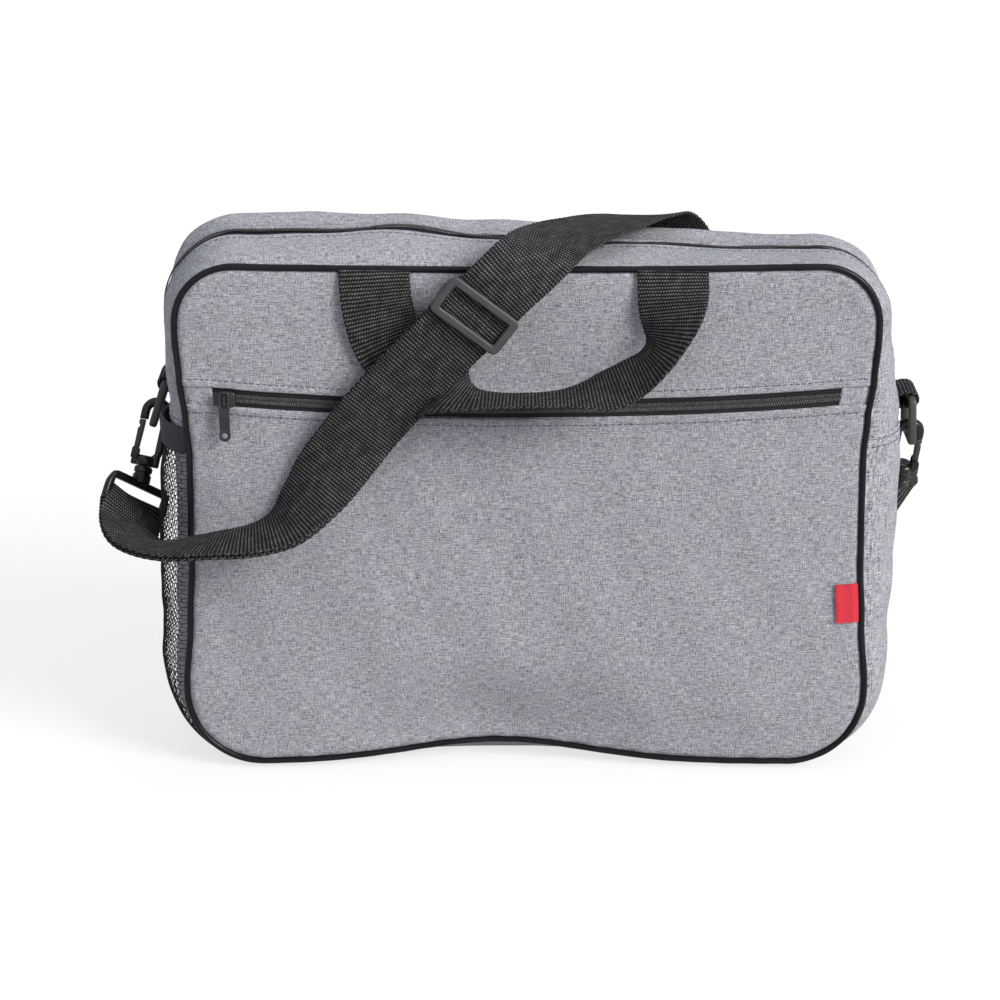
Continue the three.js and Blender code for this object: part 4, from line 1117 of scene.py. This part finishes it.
strapRoute = (
    (-221.0, -22.0, 141.0, 0.55, 0.7, -0.45), (-212.0, -47.0, 140.5, 0.35, 0.9, -0.25),
    (-192.0, -63.0, 143.0, 0.15, 0.98, -0.1), (-168.0, -68.0, 147.0, 0.06, 1, -0.02),
    (-147.5, -68.0, 149.8, -0.14, 0.98, 0.05), (-131.5, -66.0, 156.0, -0.45, 0.87, 0.12),
    (-118.5, -62.5, 169.5, -0.6, 0.7, 0.36), (-104.5, -58.2, 187.0, -0.72, 0.3, 0.6),
    (-83.0, -58.5, 214.2, -0.75, 0, 0.66), (-57.0, -60.0, 243.0, -0.73, 0, 0.68),
    (-28.0, -60.0, 273.1, -0.72, 0, 0.69), (-9.0, -58.5, 292.0, -0.73, 0.02, 0.68),
    (4.0, -49.0, 301.5, -0.72, 0.34, 0.57), (16.0, -30.0, 305.5, -0.71, 0.62, 0.3),
    (33.0, -10.0, 307.0, -0.73, 0.67, 0.1), (50.0, 10.0, 306.0, -0.74, 0.66, 0),
    (66.0, 31.0, 303.0, -0.74, 0.62, -0.18), (78.0, 48.0, 294.0, -0.74, 0.42, -0.5),
    (88.0, 54.0, 279.0, -0.78, 0.08, -0.62), (101.0, 56.0, 255.0, -0.84, 0.04, -0.54),
    (112.0, 58.0, 226.0, -0.88, 0.1, -0.46), (121.0, 61.0, 198.0, -0.87, 0.25, -0.42),
    (134.0, 66.5, 173.0, -0.66, 0.66, -0.36), (151.0, 71.0, 156.0, -0.3, 0.94, -0.16),
    (171.0, 72.0, 147.0, 0, 1, 0), (188.5, 67.5, 141.5, 0.27, 0.94, 0.16),
    (202.5, 55.5, 138.0, 0.46, 0.78, 0.4),
)


def makeHandle():
    _, points, across, _ = routeFrames(handleRoute)
    handle, length = ribbonPiece("carry_handle", points, across, ribbonSet["width"])
    dress(handle, webbing, "black_webbing", ("handle",))
    length * mm
    print("stage: handle of", round(length), "mm")


makeHandle()


# Side hardware: ring, snap hook with its gate, swivel and strap loop, the same on both sides
sideSet = {
    "left": {"out": -1, "tabReach": 13.5, "ringBase": (-208.5, 22, 190), "ringTop": (-201.3, 22, 212.4),
             "hookUp": (0.2, 0.42, 0.885), "loopAlong": (0.6, 0.58, -0.55)},
    "right": {"out": 1, "tabReach": 18.5, "ringBase": (215.5, 14, 182.2), "ringTop": (214.5, 14, 205.7),
              "hookUp": (0.05, -0.42, 0.905), "loopAlong": (0.52, 0.72, 0.44)},
}
hookSet = {
    "thick": 5.0, "collarHalf": 8.0, "collarHeight": 6.0, "shoulder": 4.0, "spineIn": 4.4, "spineOut": 9.2,
    "noseX": 0.6, "noseZ": 31.0, "noseOut": 8.6, "noseIn": 3.8, "tipZ": 26.2, "barDrop": 1.4, "rounding": 1.7,
    "collar": ((0, 0), (4.6, 0), (5.4, 0.7), (5.6, 2.2), (5.6, 3.6), (5.0, 5.0), (3.4, 5.8), (0, 5.8)),
}
gateSet = {
    "out": -7.8, "inside": -5.0, "heel": 1.2, "lip": 0.6, "lipHeight": 4.0, "depth": 4.2, "gap": 0.35,
    "rounding": 0.7, "pinX": -6.4, "pinZ": 8.2,
    "pin": ((0, -2.62), (0.8, -2.62), (1.0, -2.45), (1.0, 2.45), (0.8, 2.62), (0, 2.62)),
}
cheekSet = {"radius": 2.0, "foot": 3.4, "thick": 1.0, "off": 2.8, "rounding": 0.35}
swivelSet = {      # the barrel's profile is in steps of inset from its radius and height above its foot
    "radius": 5.2, "length": 10.5, "gap": 0.35,
    "profile": ((1.4, 0), (0.4, 0.8), (0, 1.8), (0, 5.6), (0.7, 6.0), (0.7, 6.9), (0, 7.3), (0, 9.4),
                (0.6, 10.3), (1.4, 10.5)),
}
loopSet = {"topHalf": 20.5, "baseHalf": 24.0, "bar": 4.4, "slotHalf": 19.7, "slotHeight": 8.0, "thick": 4.2,
           "rounding": 1.2}
ringSet = {"long": 36.0, "short": 28.0, "bar": 4.5, "round": 4.6, "rounding": 1.5}


def arc(x, y, radius, start, end, steps=10):
    angle = np.radians(np.linspace(start, end, steps + 1))
    return [(x + radius * math.cos(a), y + radius * math.sin(a)) for a in angle]


def roundedLoop(corners, radius, steps=5):      # a closed outline with every corner rounded
    corners = np.asarray(corners, float)
    loop = []
    for k, corner in enumerate(corners):
        before, after = corners[k - 1] - corner, corners[(k + 1) % len(corners)] - corner
        reach = min(radius, 0.45 * np.linalg.norm(before), 0.45 * np.linalg.norm(after))
        start, end = corner + unit(before) * reach, corner + unit(after) * reach
        for t in np.linspace(0.0, 1.0, steps + 1):
            loop.append(tuple((1 - t) ** 2 * start + 2 * t * (1 - t) * corner + t ** 2 * end))
    return loop


def box(halfLong, halfShort):
    return ((-halfLong, -halfShort), (halfLong, -halfShort), (halfLong, halfShort), (-halfLong, halfShort))


def placing(origin, xAxis, yAxis, zAxis):
    place = Matrix.Identity(4)
    for k, axis in enumerate((xAxis, yAxis, zAxis)):
        for row in range(3):
            place[row][k] = axis[row]
    for row in range(3):
        place[row][3] = origin[row] * mm
    return place


def cleanMesh(obj):
    facesOut(obj, 1e-6)
    bpy.ops.object.shade_smooth_by_angle(angle=math.radians(42))


def flatPiece(name, loops, thick, rounding, place):      # a moulded plate with rounded edges
    curve = bpy.data.curves.new(name, "CURVE")
    curve.dimensions = "2D"
    curve.fill_mode = "BOTH"
    curve.extrude = (thick / 2 - rounding) * mm
    curve.bevel_depth = rounding * mm
    curve.bevel_resolution = 3
    curve.offset = -rounding * mm
    for loop in loops:
        spline = curve.splines.new("POLY")
        spline.points.add(len(loop) - 1)
        for point, (x, y) in zip(spline.points, loop):
            point.co = (x * mm, y * mm, 0.0, 1.0)
        spline.use_cyclic_u = True
    selectOnly(added(name, curve))
    bpy.ops.object.convert(target="MESH")
    obj = bpy.context.view_layer.objects.active
    cleanMesh(obj)
    obj.data.transform(place)
    return obj


def turnedPiece(name, profile, place, steps=28):      # a profile of (radius, height) spun round Z
    mesh = bpy.data.meshes.new(name)
    points = [(r * mm, 0.0, h * mm) for r, h in profile]
    mesh.from_pydata(points, [(k, k + 1) for k in range(len(points) - 1)], [])
    obj = added(name, mesh)
    selectOnly(obj)
    spin = obj.modifiers.new("spin", "SCREW")
    spin.steps = spin.render_steps = steps
    spin.use_merge_vertices = True
    spin.merge_threshold = 1e-6
    bpy.ops.object.modifier_apply(modifier=spin.name)
    cleanMesh(obj)
    obj.data.transform(place)
    return obj


def softBlock(name, size, rounding, place):      # a block with rounded edges
    bpy.ops.object.select_all(action="DESELECT")
    bpy.ops.mesh.primitive_cube_add(size=1.0)
    obj = bpy.context.view_layer.objects.active
    obj.name = name
    obj.data.transform(Matrix.Diagonal((*[v * mm for v in size], 1.0)))
    bevel = obj.modifiers.new("edges", "BEVEL")
    bevel.width = rounding * mm
    bevel.segments = 3
    bpy.ops.object.modifier_apply(modifier=bevel.name)
    cleanMesh(obj)
    obj.data.transform(place)
    return obj


def joined(name, *pieces):
    bpy.ops.object.select_all(action="DESELECT")
    for piece in pieces:
        piece.select_set(True)
    bpy.context.view_layer.objects.active = pieces[0]
    bpy.ops.object.join()
    pieces[0].name = name
    return pieces[0]


def hookFrame(side):
    up = unit(side["hookUp"])
    inwards = unit(square(np.array((-side["out"], 0.0, 0.0)), up))
    drop = hookSet["noseZ"] - hookSet["barDrop"]
    origin = np.asarray(side["ringBase"]) - hookSet["noseX"] * inwards - drop * up
    return origin, inwards, up, np.cross(inwards, up)


def loopFrame(side):
    origin, _, up, _ = hookFrame(side)
    along = unit(side["loopAlong"])
    down = unit(square(-up, along))
    top = origin - up * (swivelSet["length"] + swivelSet["gap"])
    base = top + down * (loopSet["bar"] + loopSet["slotHeight"])
    return top, base, along, down, np.cross(along, down)


def hookLoop():
    h = hookSet
    half, high = h["collarHalf"], h["collarHeight"]
    line = [(-half, 0.6), (-half + 0.6, 0), (half - 0.6, 0), (half, 0.6), (half, high)]
    line += [(h["spineOut"], high + h["shoulder"])]
    line += arc(h["noseX"], h["noseZ"], h["noseOut"], 0, 180, 18)
    line += [(h["noseX"] - h["noseOut"], h["tipZ"]), (h["noseX"] - h["noseIn"], h["tipZ"])]
    line += arc(h["noseX"], h["noseZ"], h["noseIn"], 180, 0, 14)
    return line + [(h["spineIn"], high + 1.5), (h["spineIn"] - 1.5, high), (-half, high)]


def gateLoop():
    g, top = gateSet, hookSet["tipZ"] - gateSet["gap"]
    low = hookSet["collarHeight"] + g["gap"]
    notch = top - 2.6
    return [(g["out"], low), (g["inside"] - g["heel"], low), (g["inside"], low + g["heel"]),
            (g["inside"] + g["lip"], hookSet["tipZ"] - g["lipHeight"]), (g["inside"] + g["lip"], top),
            (g["out"] + 0.5, top), (g["out"], top - 0.6), (g["out"], notch), (g["out"] + 0.8, notch - 0.8),
            (g["out"] + 0.8, notch - 1.8), (g["out"], notch - 2.6)]


def cheekLoop():      # the hook's ears on either side of the gate's pin
    x, z, r = gateSet["pinX"], gateSet["pinZ"], cheekSet["radius"]
    return [(x - r, cheekSet["foot"]), (x + r, cheekSet["foot"])] + arc(x, z, r, 0, 180, 12)


def strapLoopLoops():
    v = loopSet
    high, low = -v["bar"] / 2, v["bar"] * 1.5 + v["slotHeight"]
    outer = [(-v["topHalf"], high), (v["topHalf"], high), (v["baseHalf"], v["bar"]), (v["baseHalf"], low),
             (-v["baseHalf"], low), (-v["baseHalf"], v["bar"])]
    slot = [(-v["slotHalf"], v["bar"] / 2), (-v["slotHalf"], v["bar"] / 2 + v["slotHeight"]),
            (v["slotHalf"], v["bar"] / 2 + v["slotHeight"]), (v["slotHalf"], v["bar"] / 2)]
    return roundedLoop(outer, 2.6), roundedLoop(slot, 0.8)


def makeSide(name, side):
    origin, inwards, up, through = hookFrame(side)
    hookPlace = placing(origin, inwards, up, through)
    standing = placing(origin, inwards, -through, up)
    low, high = np.asarray(side["ringBase"], float), np.asarray(side["ringTop"], float)
    rise = unit(high - low)
    ring = flatPiece(name + "_side_ring", ringLoops(), ringSet["bar"], ringSet["rounding"],
                     placing((low + high) / 2, (0, 1, 0), rise, np.cross((0, 1, 0), rise)))
    dress(ring, greyPlastic, "grey_plastic", (name + "_ring",))
    hook = flatPiece(name + "_hook_body", [hookLoop()], hookSet["thick"], hookSet["rounding"], hookPlace)
    collar = turnedPiece("collar", hookSet["collar"], standing)
    cheeks = [flatPiece("cheek", [cheekLoop()], cheekSet["thick"], cheekSet["rounding"],
                        placing(origin + through * off, inwards, up, through))
              for off in (-cheekSet["off"], cheekSet["off"])]
    pinPlace = placing(origin + inwards * gateSet["pinX"] + up * gateSet["pinZ"], inwards, up, through)
    pin = turnedPiece("pin", gateSet["pin"], pinPlace, 16)
    hook = joined(name + "_hook_body", hook, collar, *cheeks)
    dress(hook, blackPlastic, "black_plastic", (name + "_hook",))
    gate = flatPiece(name + "_gate_lever", [gateLoop()], gateSet["depth"], gateSet["rounding"], hookPlace)
    gate = joined(name + "_gate_lever", gate, pin)
    # painted highlight: the gate is black plastic but takes the grey finish for the light along its thin edge
    dress(gate, greyPlastic, "black_plastic", (name + "_hook_gate",), name + "_gate")
    top, _, along, down, facing = loopFrame(side)
    loopPlace = placing(top, along, down, facing)
    loop = flatPiece("loop", strapLoopLoops(), loopSet["thick"], loopSet["rounding"], loopPlace)
    foot = -swivelSet["gap"] - swivelSet["length"]
    profile = [(swivelSet["radius"] - inset, foot + height) for inset, height in swivelSet["profile"]]
    barrel = turnedPiece("barrel", [(0, foot), *profile, (0, -swivelSet["gap"])], standing)
    loop = joined(name + "_swivel_loop", loop, barrel)
    dress(loop, blackPlastic, "black_plastic", (name + "_hook_loop",))
    makeTab(name, side)


def ringLoops():
    long, short, bar = ringSet["long"] / 2, ringSet["short"] / 2, ringSet["bar"]
    return roundedLoop(box(long, short), ringSet["round"]), roundedLoop(box(long - bar, short - bar), 1.6)


ringTabSet = {"width": 25.0, "hole": 3.53, "fall": -1.5, "into": 3.0}


def makeTab(name, side):      # webbing folded round the ring's top bar and sewn to the gusset
    bend = ringTabSet["hole"] + ribbonSet["thick"] / 2
    reach = side["tabReach"] + ringTabSet["into"]
    low = [(-reach + k * reach / 6, -bend) for k in range(6)]
    turn = arc(0, 0, bend, -90, 90, 16)
    high = [(-k * reach / 6, mixed(bend, ringTabSet["fall"], smooth(0.0, 1.0, k / 6))) for k in range(1, 7)]
    out, up = np.asarray(low + turn + high).T
    x, y, z = side["ringTop"]
    points = np.stack((x + side["out"] * out, np.full(len(out), float(y)), z + up), -1)
    across = np.tile((0.0, 1.0, 0.0), (len(out), 1))
    tab, length = ribbonPiece(name + "_ring_webbing", points, across, ringTabSet["width"], 3)
    dress(tab, webbing, "black_webbing", (name + "_ring_tab",))
    length * mm


for sideName, side in sideSet.items():
    makeSide(sideName, side)
print("stage: rings and hooks moulded")


# Shoulder strap: doubled from the slider back round the left loop, then up, over and down to the right loop
strapSet = {"layer": 2.3, "tuck": 6.0, "slideRow": 10, "pastSlider": 0.3, "wrap": 4.61, "wrapSteps": 15,
            "sewn": 2.0, "clear": 0.33}


def wrapPoints(side, leavePoint, leaveAcross, leaveNormal):
    _, base, along, _, _ = loopFrame(side)
    across = along * (1.0 if np.dot(leaveAcross, along) > 0 else -1.0)
    away = unit(square(leavePoint - base, across))
    lift = np.cross(away, across)
    lift = lift * (1.0 if np.dot(lift, leaveNormal) > 0 else -1.0)
    angle = np.linspace(0.0, math.pi, strapSet["wrapSteps"])[:, None]
    points = base + strapSet["wrap"] * (lift * np.cos(angle) - away * np.sin(angle))
    return points, np.tile(across, (len(points), 1))


def makeStrap():
    at, points, across, normal = routeFrames(strapRoute)
    leftPoints, leftAcross = wrapPoints(sideSet["left"], points[0], across[0], normal[0])
    rightPoints, rightAcross = wrapPoints(sideSet["right"], points[-1], across[-1], normal[-1])
    back = (at > strapSet["clear"]) & (at <= strapSet["slideRow"] + strapSet["pastSlider"])
    last = 3 * strapSet["slideRow"]
    deep = mixed(strapSet["layer"], strapSet["tuck"], smooth(last - 8, last - 2, 3 * at - 1))
    under = points - normal * deep[:, None]
    tail = (at > at[-1] - strapSet["sewn"]) & (at < at[-1] - strapSet["clear"])
    lower = points - normal * strapSet["layer"]
    path = np.concatenate((under[back][::-1], leftPoints[::-1], points, rightPoints, lower[tail][::-1]))
    ways = np.concatenate((across[back][::-1], leftAcross[::-1], across, rightAcross, across[tail][::-1]))
    strap, length = ribbonPiece("long_strap", path, ways, ribbonSet["width"], 5)
    dress(strap, webbing, "black_webbing", ("shoulder_strap",))
    length * mm
    print("stage: strap of", round(length), "mm,", len(strap.data.polygons), "faces")
    row = int(np.argmin(np.abs(at - strapSet["slideRow"])))
    return points[row], across[row], normal[row]


slideSet = {"long": 44.5, "short": 23.0, "bar": 4.5, "thick": 3.2, "deep": 3.4, "base": 1.45, "round": 4.5,
            "legWide": 2.4, "legLong": 8.0, "legIn": 0.8, "barWide": 6.0, "turn": 7.0}


def makeSlider(point, across, normal):
    s = slideSet
    turn = math.radians(s["turn"])
    across = math.cos(turn) * across + math.sin(turn) * np.cross(normal, across)
    along = np.cross(normal, across)
    outer = roundedLoop(box(s["long"] / 2, s["short"] / 2), s["round"], 8)
    window = roundedLoop(box(s["long"] / 2 - s["bar"], s["short"] / 2 - s["bar"]), 1.2)
    top = flatPiece("slider_frame", (outer, window), s["thick"], 1.1,
                    placing(point + normal * (s["base"] + s["thick"] / 2), across, along, normal))
    drop = 2 * s["base"] + s["deep"] + s["legIn"]
    low = normal * (s["base"] + s["legIn"] - drop / 2)
    apart = (s["long"] - s["legWide"]) / 2 - 0.1
    legs = []
    for end in (-1, 1):
        place = placing(point + across * end * apart + low, across, along, normal)
        legs.append(softBlock("leg", (s["legWide"], s["legLong"], drop), 0.7, place))
    place = placing(point - normal * (s["base"] + s["deep"] / 2), across, along, normal)
    bar = softBlock("bar", (s["long"] - 1.0, s["barWide"], s["deep"]), 1.2, place)
    dress(joined("strap_adjuster", top, *legs, bar), greyPlastic, "grey_plastic", ("strap_slider",))


strapSeat = makeStrap()
makeSlider(*strapSeat)
print("stage: strap and slider laid")


# Zip sliders and the hanging pull
pullSet = {"x": -163.0, "width": 6.2, "thick": 1.6, "top": 5.4, "length": 25.0, "hole": 1.5, "clear": 0.6,
           "eyeHalf": 1.4, "eyeTop": 3.9, "eyeBase": -4.2}
runnerSet = {"length": 12.0, "height": 9.0, "thick": 3.2, "gap": 0.35, "rounding": 0.8}
bridgeSet = {"width": 2.0, "deep": 2.2, "height": 6.4, "sunk": 0.3, "rounding": 0.6}
mainRunnerSet = {"length": 12.0, "height": 8.0, "thick": 3.0, "bridge": (6.4, 2.0, 1.6), "bridgeUp": 1.6}


def runnerLoop(length, height):      # shield outline of a zip slider: two shoulders narrowing to one end
    a, b = length / 2, height / 2
    return roundedLoop(((-a, -b * 0.62), (-a * 0.2, -b * 0.78), (a * 0.45, -b), (a, -b * 0.86), (a, b * 0.86),
                        (a * 0.45, b), (-a * 0.2, b * 0.78), (-a, b * 0.62)), 1.6)


def pullLoops():
    half, top, end = pullSet["width"] / 2, pullSet["top"], pullSet["top"] - pullSet["length"]
    outer = [(half, top - 1.2), (half - 1.2, top), (-half + 1.2, top), (-half, top - 1.2), (-half, -4.8),
             (-half + 0.3, -6.4), (-half + 0.3, end + 3.6)]
    outer += arc(0, end, half + 0.1, 168, 372, 18)
    outer += [(half - 0.3, end + 3.6), (half - 0.3, -6.4), (half, -4.8)]
    side, high, low = pullSet["eyeHalf"], pullSet["eyeTop"], pullSet["eyeBase"]
    eye = roundedLoop(((-side, high), (side, high), (side, low), (-side, low)), 0.6)
    return outer, eye, arc(0, end, pullSet["hole"], 0, 340, 17)


def makePocketSlider():
    x = np.array((pullSet["x"],))
    seat = panelPoint(x, zipMiddle(x), -1, body["frontPillow"])[0]
    face = seat[1] - runnerSet["gap"] - runnerSet["thick"]

    def facing(y):      # a place in front of the zip, facing forwards
        return placing((pullSet["x"], y, seat[2]), (1, 0, 0), (0, 0, 1), (0, -1, 0))

    r, b = runnerSet, bridgeSet
    plate = flatPiece("plate", [runnerLoop(r["length"], r["height"])], r["thick"], r["rounding"],
                      facing(face + r["thick"] / 2))
    post = softBlock("post", (b["width"], b["height"], b["deep"]), b["rounding"],
                     facing(face + b["sunk"] - b["deep"] / 2))
    dress(joined("pocket_zip_runner", plate, post), metal, "zip_metal", ("pocket_zip_slider",))
    tag = flatPiece("pocket_zip_tag", pullLoops(), pullSet["thick"], 0.5,
                    facing(face - pullSet["clear"] - pullSet["thick"] / 2))
    dress(tag, metal, "zip_metal", ("pocket_zip_pull",), "pocket_pull")


def makeMainSlider():
    low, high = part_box("main_zip_slider")
    middle = [(a + b) / 2 / mm for a, b in zip(low, high)]
    axes = ((1, 0, 0), (0, 1, 0), (0, 0, 1))
    m = mainRunnerSet
    plate = flatPiece("plate", [runnerLoop(m["length"], m["height"])], m["thick"], runnerSet["rounding"],
                      placing(middle, *axes))
    middle[2] += m["bridgeUp"]
    post = softBlock("post", m["bridge"], bridgeSet["rounding"], placing(middle, *axes))
    dress(joined("main_zip_runner", plate, post), metal, "zip_metal", ("main_zip_slider",))


makePocketSlider()
makeMainSlider()
print("stage: zip sliders made")


# Stitching: single stitches along each sewn line
stitchSet = {"length": 2.3, "gap": 1.1, "radius": 0.3, "sink": 0.02, "frontHalf": 186.0, "seamHalf": 37.5,
             "strapHalf": 16.0, "strapRow": 0.6}


def stitches(name, lines, look, slot):
    shape = capsule(stitchSet["length"] - 2 * stitchSet["radius"], stitchSet["radius"])
    places, ways, normals = [], [], []
    for points, up in lines:
        place, way, normal = alongLine(points, up, stitchSet["length"] + stitchSet["gap"])
        places.append(place - normal * stitchSet["sink"])
        ways.append(way)
        normals.append(normal)
    third = np.concatenate(normals)
    first = np.concatenate(ways)
    sewn = scatter(name, shape, np.concatenate(places), first, np.cross(third, first), third)
    return dress(sewn, look, slot)


def frontSurface(edge, way):      # front cloth at a distance from a zip edge
    def surface(u, v):
        z = edge(u) + way * (lipSet["stitchLine"] + v)
        lift = panelLift(u, z, waveSeeds["front"]) + zipLip(way * (z - edge(u)), u)
        return panelPoint(u, z, -1, body["frontPillow"], lift)
    return surface


def topSurface(share, way, seed):      # top gusset at a distance from the main zip
    lip = depthAt(share)

    def surface(u, v):
        y = lip + way * (lipSet["stitchLine"] + v)
        return gussetPoint(u, shareAt(y), gussetLift(u, y, seed) + zipLip(way * (y - lip), u))
    return surface


def seamLine(start, way, row):
    y = np.linspace(-stitchSet["seamHalf"], stitchSet["seamHalf"], 80)
    along = np.full_like(y, start + way * row)
    lift = gussetLift(along, y, waveSeeds["lower"]) + gussetSet["lapLift"] - 0.3
    points = gussetPoint(along, shareAt(y), lift)
    normals = unit(gussetPoint(along, shareAt(y), lift + 1.0) - points)
    return points, normals


def makeStitches():
    x = np.linspace(-stitchSet["frontHalf"], stitchSet["frontHalf"], 300)
    rows = [surfaceLine(frontSurface(bandTop, 1), x), surfaceLine(frontSurface(bandBase, -1), x, -1.0)]
    along = np.linspace(rightSeamAt + 1, leftSeamAt - 1, 420)
    rows.append(surfaceLine(topSurface(gussetSet["zipFront"], -1, waveSeeds["topFront"]), along))
    rows.append(surfaceLine(topSurface(gussetSet["zipBack"], 1, waveSeeds["topBack"]), along, -1.0))
    for row in gussetSet["seamRows"]:
        rows.append(seamLine(leftSeamAt - gussetSet["lap"], 1, row))
        rows.append(seamLine(outlineLength + rightSeamAt + gussetSet["lap"], -1, row))
    stitches("cloth_stitches", rows, blueThread, "heather_cloth")
    point, across, normal = strapSeat
    wide = np.linspace(-stitchSet["strapHalf"], stitchSet["strapHalf"], 40)[:, None]
    line = point + wide * across + stitchSet["strapRow"] * np.cross(normal, across)
    line = line + normal * (ribbonSet["thick"] / 2 + ribbonSet["bump"])
    stitches("strap_stitches", [(line, np.tile(normal, (len(line), 1)))], greyThread, "black_webbing")


makeStitches()
print("stage: stitching done")


# Floor, world and soft studio lights
lightSet = {
    "key": {"ahead": (-0.67, 0.52, -0.47), "strength": 3.15, "spread": 28.0, "tint": (1.0, 0.985, 0.95)},
    "top": {"ahead": (0.0, 0.25, -0.97), "strength": 0.6, "spread": 100.0, "tint": (1.0, 0.985, 0.96)},
    "sky": {"strength": 0.46, "tint": (0.86, 0.89, 1.0)},
    "page": (1.0, 1.0, 1.0),      # seen where the camera looks past the floor
    "far": 1500.0,
}


def makeStudio():
    bpy.ops.object.select_all(action="DESELECT")
    bpy.ops.mesh.primitive_plane_add(size=floorSet["size"], location=(0.0, 0.0, 0.0))
    floor = bpy.context.view_layer.objects.active
    floor.name = "studio_floor"
    floor.data.materials.append(paleFloor())
    for name in ("key", "top"):
        setting = lightSet[name]
        sun = bpy.data.lights.new("studio_" + name, "SUN")
        sun.energy = setting["strength"]
        sun.angle = math.radians(setting["spread"])
        sun.color = setting["tint"]
        lamp = added("studio_" + name, sun)
        ahead = unit(setting["ahead"])
        side = unit(np.cross(ahead, (0.0, 0.0, 1.0)))
        lamp.matrix_world = placing(-lightSet["far"] * ahead, side, np.cross(side, ahead), -ahead)
    world = bpy.data.worlds.new("studio_world")
    world.use_nodes = True
    nodes, links = world.node_tree.nodes, world.node_tree.links
    sky = nodes["Background"]
    sky.inputs["Color"].default_value = (*lightSet["sky"]["tint"], 1.0)
    sky.inputs["Strength"].default_value = lightSet["sky"]["strength"]
    page = nodes.new("ShaderNodeBackground")
    page.inputs["Color"].default_value = (*lightSet["page"], 1.0)
    pick = nodes.new("ShaderNodeMixShader")
    links.new(nodes.new("ShaderNodeLightPath").outputs["Is Camera Ray"], pick.inputs["Fac"])
    links.new(sky.outputs["Background"], pick.inputs[1])
    links.new(page.outputs["Background"], pick.inputs[2])
    links.new(pick.outputs["Shader"], nodes["World Output"].inputs["Surface"])
    bpy.context.scene.world = world
    bpy.context.scene.view_settings.view_transform = "Standard"


makeStudio()
print("stage: studio lit")
